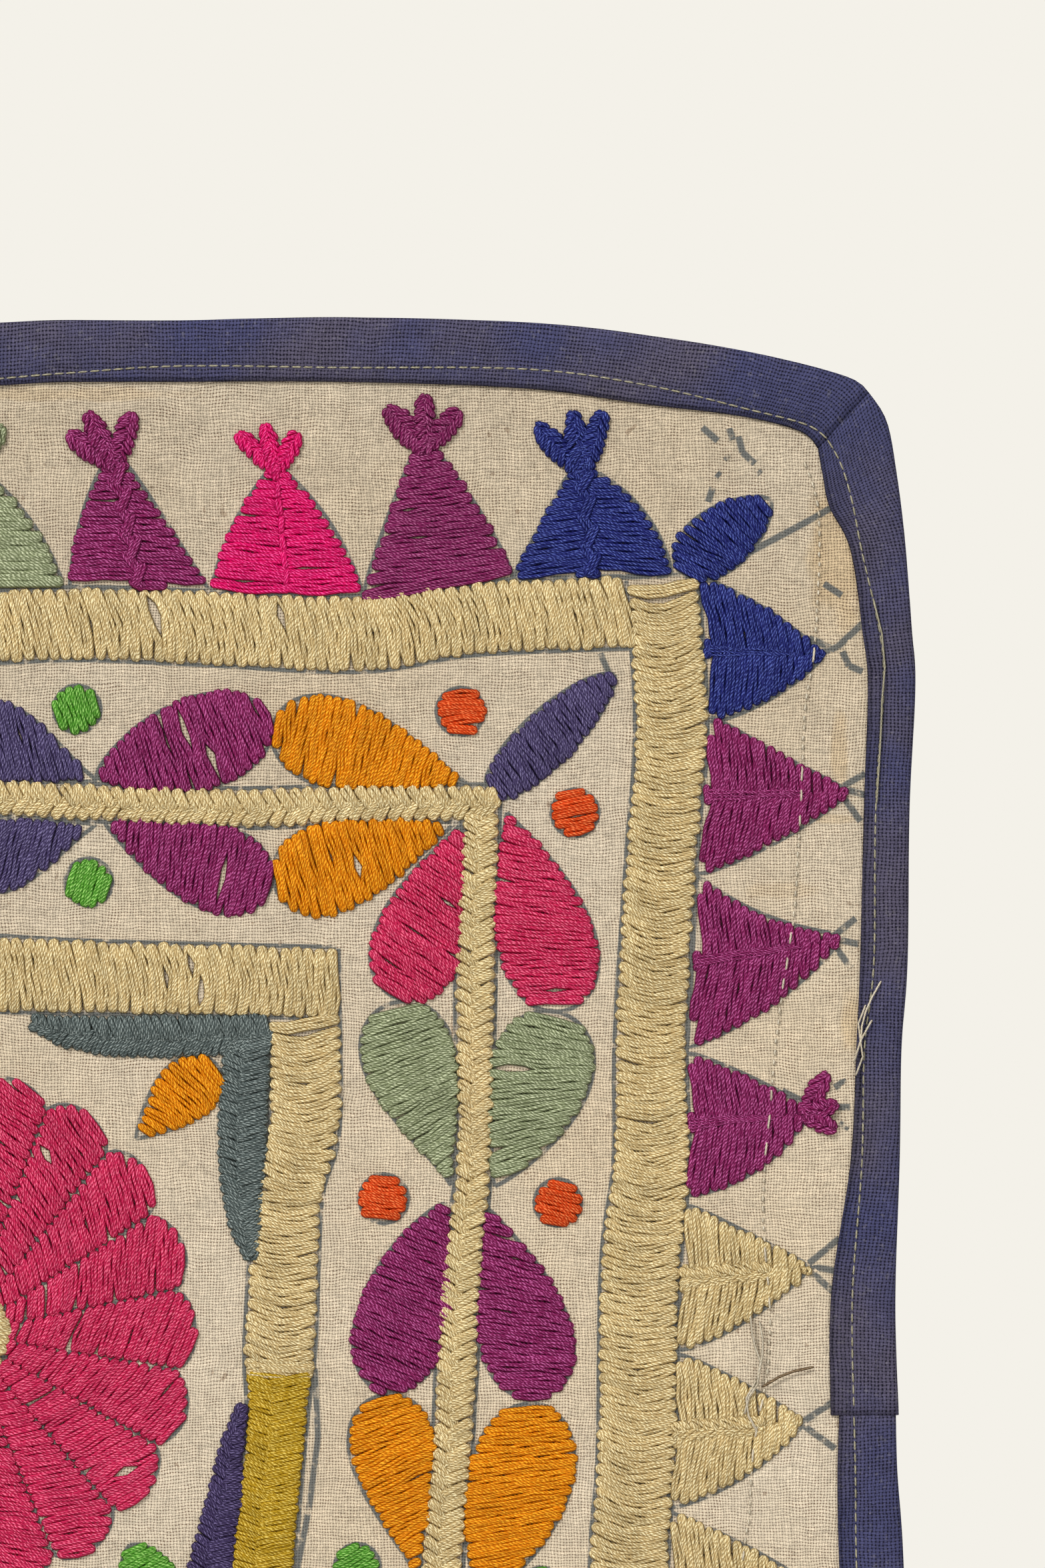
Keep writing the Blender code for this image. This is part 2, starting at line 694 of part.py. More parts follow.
def make_cloth(name, look):
    """The ground cloth: a flat front cut along every motif's outline, the motifs drawn out of it, a plain
    back, and a wall round the edge."""
    edge = counter_clockwise(cloth_edge())
    raised, holes = motif_loops()
    raised = [counter_clockwise(loop) for loop in raised]
    holes = [counter_clockwise(loop) for loop in holes]
    loops = [edge] + raised + holes
    bm = bmesh.new()
    spots, faces, front_edge = triangulated(loops, plain_points(edge, raised + holes, GRID))
    front = [bm.verts.new((x, -CLOTH / 2, z)) for x, z in spots]
    drawn_out = []
    first_hole = 1 + len(raised)
    for face, held in faces:
        made = bm.faces.new([front[k] for k in face])
        layers = sum(1 if k < first_hole else -1 for k in held if k)
        if layers > 0:
            drawn_out.append(made)
    spots, faces, back_edge = triangulated([edge], plain_points(edge, [], BACK_GRID))
    back = [bm.verts.new((x, CLOTH / 2, z)) for x, z in spots]
    for face, _ in faces:
        bm.faces.new([back[k] for k in reversed(face)])
    count = len(edge)
    for k in range(count):
        j = (k + 1) % count
        bm.faces.new((front[front_edge[k]], back[back_edge[k]], back[back_edge[j]], front[front_edge[j]]))
    moved = bmesh.ops.extrude_face_region(bm, geom=drawn_out)
    bmesh.ops.delete(bm, geom=drawn_out, context="FACES")
    risen = [v for v in moved["geom"] if isinstance(v, bmesh.types.BMVert)]
    bmesh.ops.translate(bm, vec=(0.0, -RELIEF, 0.0), verts=risen)
    bmesh.ops.triangulate(bm, faces=bm.faces)
    return make_object(name, bm, look)


def build():
    """The whole hanging."""
    for old in list(bpy.data.objects):
        bpy.data.objects.remove(old)
    ground = make_material("unbleached cotton with wool stitches", (0.62, 0.50, 0.33), 0.9)
    navy = make_material("navy cotton binding", (0.075, 0.075, 0.16), 0.85)
    cloth = make_cloth("ground_cloth", ground)
    print("ground_cloth has", len(cloth.data.polygons), "triangles")
    for name, rows in strip_tables().items():
        strip = make_strip(name, rows, navy)
        print(name, "has", len(strip.data.polygons), "triangles")


build()
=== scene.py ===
# %% [markdown]
# This lesson builds the looks of an embroidered wall hanging: unbleached cotton, covered in places by
# thick plied thread and bound in navy cotton. The solids give its size and the way it hangs. Cloth and
# binding come first, then the stitches by colour, the lines drawn under them, and the seams.

import math
from collections import namedtuple

import bmesh
import bpy
import numpy as np
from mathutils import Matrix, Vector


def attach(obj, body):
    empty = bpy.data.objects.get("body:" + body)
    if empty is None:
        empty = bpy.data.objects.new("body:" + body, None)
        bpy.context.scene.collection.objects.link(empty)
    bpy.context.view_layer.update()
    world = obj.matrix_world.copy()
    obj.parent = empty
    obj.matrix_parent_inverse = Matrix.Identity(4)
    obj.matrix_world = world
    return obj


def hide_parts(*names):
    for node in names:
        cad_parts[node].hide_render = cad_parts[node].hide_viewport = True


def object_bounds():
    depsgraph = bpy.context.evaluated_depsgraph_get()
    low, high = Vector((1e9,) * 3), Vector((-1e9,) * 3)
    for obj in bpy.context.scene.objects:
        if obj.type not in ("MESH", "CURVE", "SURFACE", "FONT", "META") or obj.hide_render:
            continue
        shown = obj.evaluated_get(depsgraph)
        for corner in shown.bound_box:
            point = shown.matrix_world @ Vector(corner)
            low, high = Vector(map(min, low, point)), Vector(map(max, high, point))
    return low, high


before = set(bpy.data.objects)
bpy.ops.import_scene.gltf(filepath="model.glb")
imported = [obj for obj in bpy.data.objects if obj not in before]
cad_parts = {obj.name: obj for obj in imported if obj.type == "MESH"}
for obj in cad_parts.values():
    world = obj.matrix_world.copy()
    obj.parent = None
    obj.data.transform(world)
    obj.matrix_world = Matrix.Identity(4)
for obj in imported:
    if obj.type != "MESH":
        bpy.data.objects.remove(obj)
solid_low, solid_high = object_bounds()
MM = 0.001
rng = np.random.default_rng(41)


def rows_of(kind, table):
    """Named rows of a table."""
    return [kind(*row) for row in table]


print("solids reach from", tuple(solid_low), "to", tuple(solid_high))

# %% [markdown]
# The photo looks straight at the upper right part of the hanging. A long lens from well back keeps the
# cloth free of perspective, as in a scan. The lens follows from how much of the cloth the view takes in.


# %% Camera
VIEW_X = 117.46
VIEW_Z = -96.6
VIEW_TALL = 329.28
CAMERA_AWAY = 1600.0
SENSOR = 36.0


def add(name, data):
    """Data as an object in the scene."""
    made = bpy.data.objects.new(name, data)
    bpy.context.scene.collection.objects.link(made)
    return made


camera = add("camera", bpy.data.cameras.new("camera"))
camera.data.sensor_width = SENSOR
camera.data.lens = SENSOR * CAMERA_AWAY / VIEW_TALL
camera.location = (VIEW_X * MM, -CAMERA_AWAY * MM, VIEW_Z * MM)
camera.rotation_euler = (math.radians(90), 0.0, 0.0)
bpy.context.scene.camera = camera
print("lens", round(camera.data.lens, 1), "mm")

# %% [markdown]
# Cloth shows its relief only when light rakes it a little. One broad light high on the left does that, a
# weaker one on the right opens the shadows, and a pale world fills the rest. The camera sees the world as
# an off-white paper ground, while the cloth gets a dimmer share of it.


# %% World and lights
PAPER = (244, 241, 233)
WORLD_ON_CLOTH = 0.38


def paint(red, green, blue):
    """A colour named in screen values of 0 to 255, as the linear colour that shaders take."""
    shares = (red / 255, green / 255, blue / 255)
    return tuple(s / 12.92 if s <= 0.04045 else ((s + 0.055) / 1.055) ** 2.4 for s in shares)


def soft_light(name, place, size, power):
    """A square light aimed at the middle of the view."""
    light = add(name, bpy.data.lights.new(name, "AREA"))
    light.data.size = size
    light.data.energy = power
    light.location = place
    aim = camera.location.copy()
    aim.y = 0.0
    light.rotation_euler = (aim - light.location).to_track_quat("-Z", "Y").to_euler()


bpy.context.scene.view_settings.view_transform = "Standard"
world = bpy.data.worlds.new("studio")
bpy.context.scene.world = world
world.use_nodes = True
nodes, links = world.node_tree.nodes, world.node_tree.links
nodes["Background"].inputs["Color"].default_value = (*paint(*PAPER), 1.0)
on_cloth = nodes.new("ShaderNodeBackground")
on_cloth.inputs["Color"].default_value = (1.0, 0.99, 0.97, 1.0)
on_cloth.inputs["Strength"].default_value = WORLD_ON_CLOTH
either = nodes.new("ShaderNodeMixShader")
links.new(nodes.new("ShaderNodeLightPath").outputs["Is Camera Ray"], either.inputs[0])
links.new(on_cloth.outputs[0], either.inputs[1])
links.new(nodes["Background"].outputs[0], either.inputs[2])
links.new(either.outputs[0], nodes["World Output"].inputs[0])
soft_light("key", (-1.6, -2.4, 2.2), size=1.0, power=108.0)
soft_light("opening", (2.6, -3.0, 0.4), size=2.0, power=30.0)
print("lights are on")

# %% [markdown]
# Procedural finishes are mostly arithmetic. A small class wraps a socket, so that a pattern can be
# written as one expression. Numbers stay numbers until they meet a socket, and only then is a Math node
# made. Every other kind of node comes from one method.


# %% Node helpers
def math_node(operation, swapped=False):
    """A method that makes a Math node of a socket and the method's arguments."""
    def made(self, *others):
        values = (*others, self) if swapped else (self, *others)
        return self.look.number("ShaderNodeMath", {"operation": operation}, *values)
    return made


class Socket:
    """A number on a surface. Adding, multiplying and so on make the Math nodes."""

    def __init__(self, look, plug):
        self.look = look
        self.plug = plug

    __add__ = __radd__ = math_node("ADD")
    __mul__ = __rmul__ = math_node("MULTIPLY")
    __sub__ = math_node("SUBTRACT")
    __rsub__ = math_node("SUBTRACT", swapped=True)
    __truediv__ = math_node("DIVIDE")
    __pow__ = math_node("POWER")
    __abs__ = math_node("ABSOLUTE")
    sine = math_node("SINE")
    larger = math_node("MAXIMUM")
    smaller = math_node("MINIMUM")

    def clamped(self):
        return self.larger(0.0).smaller(1.0)

    def between(self, low, high):
        """0 below low, 1 above high, and a smooth way from one to the other."""
        settings = {"interpolation_type": "SMOOTHSTEP"}
        return self.look.number("ShaderNodeMapRange", settings, self, low, high, 0.0, 1.0)


class Look:
    """A material, and the one way in which its nodes are made."""

    def __init__(self, name, roughness, specular=0.35):
        self.material = bpy.data.materials.new(name)
        self.material.use_nodes = True
        self.tree = self.material.node_tree
        self.shader = self.tree.nodes["Principled BSDF"]
        self.fill(self.shader.inputs, {"Roughness": roughness, "Specular IOR Level": specular})

    def fill(self, plugs, values):
        """Links or sets the sockets that values names or numbers. None leaves a socket alone."""
        for key, value in values.items():
            plug = plugs[key]
            if isinstance(value, Socket):
                self.tree.links.new(value.plug, plug)
            elif value is not None:
                plug.default_value = (*value, 1.0) if plug.type == "RGBA" else value

    def node(self, kind, settings, *values):
        """A node with its settings made first and then its sockets filled, in their order."""
        made = self.tree.nodes.new(kind)
        for key, value in settings.items():
            setattr(made, key, value)
        self.fill(made.inputs, dict(enumerate(values)))
        return made

    def number(self, kind, settings, *values):
        return Socket(self, self.node(kind, settings, *values).outputs[0])

    def axes(self, source):
        """The three numbers of a place."""
        return [Socket(self, plug) for plug in self.node("ShaderNodeSeparateXYZ", {}, source).outputs]

    def place(self):
        """The place on the object, in metres."""
        return Socket(self, self.node("ShaderNodeTexCoord", {}).outputs["Object"])

    def map(self):
        """The numbers of the piece's own map."""
        return self.axes(self.number("ShaderNodeUVMap", {"uv_map": "along"}))

    def tone(self):
        """A strand's own random number."""
        return Socket(self, self.node("ShaderNodeAttribute", {"attribute_name": "tone"}).outputs["Fac"])

    def vector(self, x, y, z):
        return self.number("ShaderNodeCombineXYZ", {}, x, y, z)

    def noise(self, where, scale, detail=2.0):
        """Smooth random numbers about one half, where is a vector and scale is in turns to its unit."""
        return self.number("ShaderNodeTexNoise", {}, where, None, scale, detail)

    def mix(self, share, one, two):
        """A colour between two others."""
        made = self.node("ShaderNodeMix", {"data_type": "RGBA"})
        self.fill(made.inputs, {0: share, 6: one, 7: two})
        return Socket(self, made.outputs[2])

    def scaled(self, colour, by):
        """A colour made darker or paler by a number."""
        return self.number("ShaderNodeVectorMath", {"operation": "SCALE"}, colour, None, None, by)

    def finish(self, colour, height, depth):
        """Wires colour and a bump of the given depth, in metres, into the shader."""
        bump = self.node("ShaderNodeBump", {})
        self.fill(bump.inputs, {"Strength": 1.0, "Distance": depth, "Height": height})
        self.fill(self.shader.inputs, {"Base Color": colour, "Normal": Socket(self, bump.outputs[0])})
        return self.material


print("node helpers are ready")

# %% [markdown]
# Both cottons are plain weave. Each thread is a round rib, and the two sets take turns on top. The product
# of two sines changes its sign from one crossing to the next, which says which set is on top there. Where
# four threads meet there is a pinhole. Threads wander a little and are thick and thin, as handloom
# cotton is. The drawn lines use the ground cotton's own finish, with ink over it.


# %% Plain weave
def weave(look, across, up, pitch_across, pitch_up, wander, where):
    """How far the threads cover a plain weave, 0 in its pinholes, how high the upper thread is, and how far
    that thread strays from its usual tone. across and up are in metres."""
    fine = look.noise(where, 430.0, 1.0) * 0.42 * MM
    drift = look.noise(where, 47.0, 2.0) * wander + fine
    sway = look.noise(where, 66.0, 2.0) * wander - fine
    a = (across + drift) / pitch_across * math.pi
    b = (up + sway) / pitch_up * math.pi
    sine_a = a.sine()
    sine_b = b.sine()
    rib_a = abs(sine_a)
    rib_b = abs(sine_b)
    over = (sine_a * sine_b * 2.0 + 0.5).clamped()
    top = rib_a * over + rib_b * (1.0 - over)
    thread_a = look.noise(look.vector(a / math.pi, 0.0, b * 0.04), 1.9, 1.0)
    thread_b = look.noise(look.vector(a * 0.04, 7.0, b / math.pi), 1.9, 1.0)
    stray = (thread_a * over + thread_b * (1.0 - over) - 0.5) * 2.0
    slack = look.noise(where, 240.0, 2.0) - 0.5
    return (rib_a**1.3).larger(rib_b * 1.1) + stray * 0.3 + slack * 0.6, top, stray


# Brown patches on the cloth. Most are stains; the two beside the right binding at z -89 and -104 are painted
# shade of wrinkles.
BrownPatch = namedtuple("BrownPatch", "x z half_width half_height strength")
STAINS_AND_FOLD_SHADE = rows_of(BrownPatch, [
    (184, -47, 8, 20, 0.5), (187, -147, 3.6, 9, 0.4), (22, -14.6, 30, 1.8, 0.3), (184, -89, 2.4, 10, 0.4),
    (182, -104, 6, 1.2, 0.3), (172, -119, 9, 2.4, 0.2),
])
COTTON_PITCH = (0.63 * MM, 0.65 * MM)  # from thread to thread, across and up
COTTON_WANDER = 3.4 * MM
COTTON_BUMP = 0.14 * MM
NAVY_PITCH = (0.74 * MM, 0.8 * MM)
NAVY_WANDER = 1.6 * MM
NAVY_BUMP = 0.16 * MM
TURNED_EDGE = 3.5 * MM  # how far along its section the binding is turned under


def cotton_colour(look):
    """The ground cotton's colour and height, on object coordinates so that drawn lines share it."""
    where = look.place()
    x, _, z = look.axes(where)
    cover, top, stray = weave(look, x, z, *COTTON_PITCH, COTTON_WANDER, where)
    solid = cover.between(0.14, 0.64)
    warm = (look.noise(where, 11.0, 3.0) + x * 0.2).between(0.3, 0.75)
    thread = look.mix(warm * 0.7, paint(214, 199, 175), paint(208, 188, 156))
    blotch = look.noise(where, 160.0, 3.0)
    # Stains, and the painted shade of two wrinkles, as brown patches
    for brown_patch in STAINS_AND_FOLD_SHADE:
        across = (x - brown_patch.x * MM) / (brown_patch.half_width * MM)
        up = (z - brown_patch.z * MM) / (brown_patch.half_height * MM)
        far = across * across + up * up + (blotch - 0.5) * 1.6
        thread = look.mix(far.between(1.0, 0.2) * brown_patch.strength, thread, paint(204, 173, 124))
    fleck = look.noise(where, 520.0, 0.0).between(0.8, 0.84)
    thread = look.mix(fleck * 0.5, thread, paint(132, 104, 78))
    # Painted highlight and shade: the raised part of each thread is paler and the rest of it darker.
    thread = look.mix((top - 0.4).clamped() * 1.4, look.scaled(thread, 0.78), look.scaled(thread, 1.2))
    # Painted shade: the pinholes between the threads are dark brown.
    cloth = look.mix(solid, paint(120, 86, 60), thread)
    streaks = look.noise(look.vector(x * 90.0, 0.0, z * 900.0), 1.0, 2.0) * 0.34
    streaks = streaks + look.noise(look.vector(x * 900.0, 3.0, z * 90.0), 1.0, 2.0) * 0.28
    # Random lighter and darker mottling at three sizes
    mottling = look.noise(where, 110.0, 4.0) * 0.2 + look.noise(where, 640.0, 1.0) * 0.24
    mottling = mottling + look.noise(where, 1400.0, 1.0) * 0.6
    # Darker towards the top; and painted light: lighter towards the right and darker towards the left,
    # against the key light from the upper left.
    darker_top_lighter_right = (z * 6.0 + 1.0).clamped() * 0.16 - x * 0.3
    return look.scaled(cloth, stray * 0.2 + mottling + streaks + 0.155 - darker_top_lighter_right), solid * 0.6 + top * 0.5


def cotton_look():
    look = Look("unbleached cotton", roughness=0.9)
    return look.finish(*cotton_colour(look), COTTON_BUMP)


def inked_look():
    """The same cotton with a drawn line on it. The map's second number runs across the line."""
    look = Look("inked cotton", roughness=0.9)
    colour, height = cotton_colour(look)
    _, across, _ = look.map()
    # The ink's own wear: patches where it has rubbed off the cloth.
    wear_and_edge_shade = look.noise(look.place(), 420.0, 3.0).between(0.27, 0.46)
    edge = (0.5 - abs(across - 0.5)).between(0.02, 0.26)
    # Painted shade and highlight: the ink is darker where the weave lies low and paler on the raised
    # threads.
    line = look.mix(height, paint(54, 57, 58), paint(96, 100, 99))
    return look.finish(look.mix(wear_and_edge_shade * edge * 0.92, colour, line), height, COTTON_BUMP)


def navy_look():
    """Faded navy cotton of an opener weave. Its map runs in metres along the strip and across it."""
    look = Look("navy cotton", roughness=0.88, specular=0.15)
    along, across, _ = look.map()
    where = look.place()
    cover, top, stray = weave(look, along, across, *NAVY_PITCH, NAVY_WANDER, where)
    solid = cover.between(0.26, 0.8)
    faded = look.noise(where, 30.0, 4.0).between(0.36, 0.66)
    thread = look.mix(faded, paint(82, 77, 95), paint(66, 67, 100))
    pale = look.noise(where, 900.0, 1.0).between(0.6, 0.74)
    thread = look.mix(pale * 0.24, thread, paint(126, 122, 124))
    # Painted shade: darker round the turned edge, and a little darker from there to about the topstitch.
    hem = across.between(8.5 * MM, 7.0 * MM) * 0.1
    wear_and_edge_shade = abs(across - TURNED_EDGE).between(1.4 * MM, 0.4 * MM) * 0.34 + hem
    # Painted highlight and shade: the raised part of each thread is lighter.
    thread = look.scaled(thread, top * 0.6 + 0.54 - wear_and_edge_shade)
    # Painted shade: the pinholes are near black.
    cloth = look.mix(solid, paint(22, 20, 36), thread)
    uneven = look.noise(where, 1300.0, 1.0) * 0.8 + look.noise(where, 300.0, 2.0) * 0.3
    return look.finish(look.scaled(cloth, stray * 0.3 + uneven + 0.53), solid * 0.6 + top * 0.5, NAVY_BUMP)


COTTON, INKED, NAVY = cotton_look(), inked_look(), navy_look()
print("cottons:", COTTON.name, INKED.name, NAVY.name)

# %% [markdown]
# Embroidery thread is three plies twisted on each other, which shows as slanting glints along each strand.
# The pattern runs on the strand's own map: along it in millimetres and round it from 0 to 1. Three plies
# make three grooves round the thread, and the sum of both numbers winds them into a helix.

# %% Thread
TWIST = 2.9  # length of a full turn of the plies
PLIES = 3
THREAD_BUMP = 0.12 * MM
# Each thread's own colour, that of the painted highlights on its plies and that of the painted shade in its
# grooves
THREAD_COLOURS = {
    "cream": ((199, 174, 122), (252, 238, 192), (136, 108, 62)),
    "olive": ((178, 142, 26), (226, 200, 100), (108, 80, 6)),
    "purple": ((128, 28, 84), (190, 96, 154), (64, 4, 40)),
    "violet": ((124, 28, 84), (178, 98, 142), (70, 10, 46)),
    "hot pink": ((212, 2, 96), (250, 84, 156), (136, 0, 52)),
    "pink": ((194, 32, 80), (240, 112, 144), (112, 4, 36)),
    "blue": ((32, 37, 106), (86, 101, 172), (12, 14, 58)),
    "slate": ((70, 59, 98), (124, 115, 154), (40, 34, 60)),
    "orange": ((214, 126, 0), (252, 182, 44), (146, 68, 0)),
    "sage": ((136, 144, 108), (202, 208, 172), (76, 84, 54)),
    "green": ((84, 150, 46), (158, 208, 112), (34, 82, 12)),
    "red": ((209, 67, 14), (242, 130, 74), (132, 28, 0)),
    "teal": ((84, 94, 92), (148, 158, 154), (42, 50, 50)),
    "indigo": ((60, 48, 84), (112, 100, 142), (32, 22, 50)),
    "khaki": ((172, 165, 138), (212, 206, 182), (104, 97, 78)),
    "brown": ((124, 102, 76), (170, 148, 118), (72, 54, 36)),
    "tacking": ((224, 211, 186), (242, 234, 216), (182, 166, 136)),
}


def thread_look(name, main, pale, deep):
    """Thread of one colour, with paler glints painted on its plies as highlights, and painted shade in its
    grooves and on its sides.
    """
    look = Look(name, roughness=0.62, specular=0.14)
    along, around, _ = look.map()
    tone = look.tone()
    loose = look.noise(look.vector(along * 0.7, around * 1.5, tone * 50.0), 1.0, 2.0)
    turn = (along / TWIST - around + loose * 0.5) * (PLIES * math.pi)
    ply = abs(turn.sine())
    patchy = look.noise(look.vector(along * 0.9, around * 2.0, tone * 90.0), 1.0, 2.0).between(0.32, 0.6)
    # Painted highlight: paler glints on the crests of the plies, along the top of the strand.
    crest = abs(around - 0.5).between(0.2, 0.04)
    colour = look.mix(ply.between(0.6, 1.0) * patchy * crest, main, pale)
    # Painted shade: a deeper colour in the grooves between the plies and on the strand's sides.
    side = abs(around - 0.5).between(0.15, 0.27)
    groove = (1.0 - ply).between(0.4, 1.0)
    colour = look.mix((groove * 0.5).larger(side * 0.22), colour, deep)
    fade = look.noise(look.place(), 75.0, 3.0) * 0.3 + look.noise(look.place(), 380.0, 1.0) * 0.34
    return look.finish(look.scaled(colour, tone * 0.2 + fade + 0.6), ply, THREAD_BUMP)


THREADS = {
    name: thread_look(name + " thread", *(paint(*colour) for colour in row))
    for name, row in THREAD_COLOURS.items()
}
print(len(THREADS), "threads")

# %% [markdown]
# The cloth hangs in long shallow swells, repeated here from the solids. On top of them it has what years
# of use and tight stitches leave: a few soft ridges placed where the photo shows them, and fine
# ripples all over. One function answers for every place, so cloth, binding and stitches agree.

# %% How the cloth hangs
MIDDLE_Z = -214.0
HALF_WIDTH = 200.0
# A wave: its height, its run over x and over z, where it starts, and how it fades towards the middle.
# The first three are the swells of the solids, and the others are ripples
Wave = namedtuple("Wave", "height run_x run_z start fade", defaults=(0,))
WAVES = rows_of(Wave, [
    (0.9, 37, 140, 0.7, 0), (0.8, -95, 33, 1.9, 0), (0.55, 15, 19, 0, 3),
    (0.055, 1.9, 9, 0.3), (0.055, -2.6, 4.2, 1.7), (0.07, 7.4, 1.9, 2.9), (0.05, -3.1, -2.3, 4.4),
    (0.09, 3.1, 14, 5.1), (0.09, 12, 3.3, 0.9),
])
# A ridge: its middle, its direction in degrees, its length, its half width and its height
Crease = namedtuple("Crease", "x z turn long wide high")
CREASES = rows_of(Crease, [
    (73, -17, 4, 20, 1.7, 0.5), (92, -19, -6, 13, 1.6, 0.36), (16, -17.6, 3, 16, 1.5, 0.4),
    (38, -16.4, 2, 9, 1.4, 0.34), (126, -20.6, -8, 15, 1.7, 0.4), (150, -22, -10, 12, 1.5, 0.34),
    (173, -30.5, -58, 12, 1.6, 0.44), (178.4, -48, 84, 26, 1.6, 0.55), (183.6, -66, 80, 16, 1.5, 0.4),
    (185, -92, 92, 22, 1.7, 0.4), (183, -128, 90, 18, 1.6, 0.38), (182.6, -158, 86, 24, 1.4, 0.52),
    (178, -196, 92, 22, 1.6, 0.36), (60, -127.4, 86, 9, 1.4, 0.38), (36, -127.8, 96, 9, 1.5, 0.34),
    (88, -152, 84, 20, 1.7, 0.3), (134.6, -118, 94, 18, 1.6, 0.32), (80.6, -214, 90, 26, 1.8, 0.32),
    (131, -208, 88, 22, 1.7, 0.3), (14, -153, 20, 14, 1.7, 0.28), (58, -210, 70, 16, 1.8, 0.28),
    (112, -74, 8, 16, 1.7, 0.34), (56, -74.6, -4, 14, 1.6, 0.34), (44, -27, 62, 14, 1.9, 0.3),
    (80, -40, 100, 16, 2, 0.26), (110, -36, 74, 14, 1.9, 0.28), (150, -34, 20, 12, 1.8, 0.3),
    (170, -104, 12, 12, 1.8, 0.26), (172, -142, -10, 12, 1.8, 0.26), (172, -184, 8, 12, 1.8, 0.26),
])


def every_way(rows):
    """Rows of the upper right quarter and their mirror images in the other quarters."""
    made = []
    for row in rows:
        over = row._replace(z=2 * MIDDLE_Z - row.z, turn=-row.turn)
        made += [row, over, row._replace(x=-row.x, turn=-row.turn), over._replace(x=-row.x, turn=row.turn)]
    return made


ALL_CREASES = every_way(CREASES)


def hang(x, z):
    """How far back the cloth's middle lies at places given in millimetres."""
    from_middle = np.hypot(x / HALF_WIDTH, (z - MIDDLE_Z) / MIDDLE_Z)
    back = np.zeros_like(x)
    for wave in WAVES:
        height = wave.height * np.minimum(1.0, from_middle ** wave.fade)
        back += height * np.sin(x / wave.run_x + z / wave.run_z + wave.start)
    for crease in ALL_CREASES:
        near = np.flatnonzero((np.abs(x - crease.x) < crease.long) & (np.abs(z - crease.z) < crease.long))
        turn = math.radians(crease.turn)
        off_x, off_z = x[near] - crease.x, z[near] - crease.z
        along = off_x * math.cos(turn) + off_z * math.sin(turn)
        aside = off_z * math.cos(turn) - off_x * math.sin(turn)
        back[near] -= crease.high * np.exp(-(aside / crease.wide) ** 2 - (2 * along / crease.long) ** 4)
    return back


print(len(ALL_CREASES), "ridges")

# %% [markdown]
# A hand-cut edge and hand-sewn lines are best given by a few rows and a smooth curve through them. The
# rows are those of the solids, with one more column: how far in from its inner edge the topstitch runs.
# The helpers for lines are used by everything that follows.

# %% Lines and the binding's rows
Binding = namedtuple("Binding", "outer_x outer_z inner_x inner_z stitch")
TOP_BINDING = rows_of(Binding, [
    (0, 0, 0, -13, 1.2), (20, 0.8, 20, -12, 1.6), (45, 0.7, 45, -11.9, 3.1), (80, 1.3, 79, -12, 2.8),
    (120, 0.1, 118, -13.4, 3.9), (146, -2.9, 143, -16.7, 3.8), (168, -6.7, 164, -19.4, 1.5),
    (185.6, -11.3, 176, -22.6, 1.7), (190.1, -14.6, 179.6, -26.2, 2.6),
])
RIGHT_UPPER_BINDING = rows_of(Binding, [
    (190.1, -14.6, 179.6, -26.2, 2.6), (193.8, -20.7, 180.6, -32, 4.5), (195.9, -32, 182, -38.5, 4.8),
    (197.6, -46, 186.4, -47.5, 2.1), (199, -64, 189, -65, 3.4), (199.8, -76, 190.1, -76, 3.1),
    (198.6, -102, 189.3, -102, 2.3), (198.2, -134, 188.5, -134, 2.7), (196.9, -152, 187.7, -152, 1.5),
    (196.5, -176, 186.5, -176, 2.2), (195.6, -205, 182.4, -204, 4.3), (196.3, -229, 182.3, -229, 4.7),
])
RIGHT_LOWER_BINDING = rows_of(Binding, [
    (195.7, -229, 184.1, -229, 2.9), (196, -241, 183.7, -242, 3.6), (197.3, -261, 184.1, -261, 3.4),
    (197.9, -300, 186, -300, 3), (198.6, -338, 187.6, -338, 2.6), (198.4, -366, 187.2, -366, 2.8),
    (195.6, -396, 182.2, -391, 3.6), (190.1, -413.4, 179.6, -401.8, 2.6),
])
LEFT_BINDING = rows_of(Binding, [
    (-190.1, -14.6, -179.6, -26.2, 2.6), (-195.4, -32, -182.4, -36, 4), (-198.6, -66, -187.6, -66, 3.2),
    (-197.6, -112, -186, -112, 2.6), (-198.8, -168, -187.2, -168, 3), (-197.2, -220, -185, -220, 3.4),
    (-198.4, -276, -186.8, -276, 2.8), (-199.4, -338, -187.8, -338, 3.2), (-196.2, -392, -182.8, -388, 3.6),
    (-190.1, -413.4, -179.6, -401.8, 2.6),
])


def lengths_along(line):
    """How far each row of a line lies from its start, by its first two columns."""
    return np.concatenate([[0.0], np.cumsum(np.hypot(*np.diff(line[:, :2], axis=0).T))])


def read_at(line, wanted, known=None):
    """The rows of a line at the given distances along it, or its one row at a single distance."""
    known = lengths_along(line) if known is None else known
    return np.stack([np.interp(wanted, known, column) for column in line.T], axis=-1)


def left_of(ahead):
    """The way to the left of one way ahead, or of many."""
    return np.stack([-ahead[..., 1], ahead[..., 0]], axis=-1)


def unit(ways):
    """Ways ahead of length one."""
    return ways / np.maximum(np.linalg.norm(ways, axis=-1, keepdims=True), 1e-9)


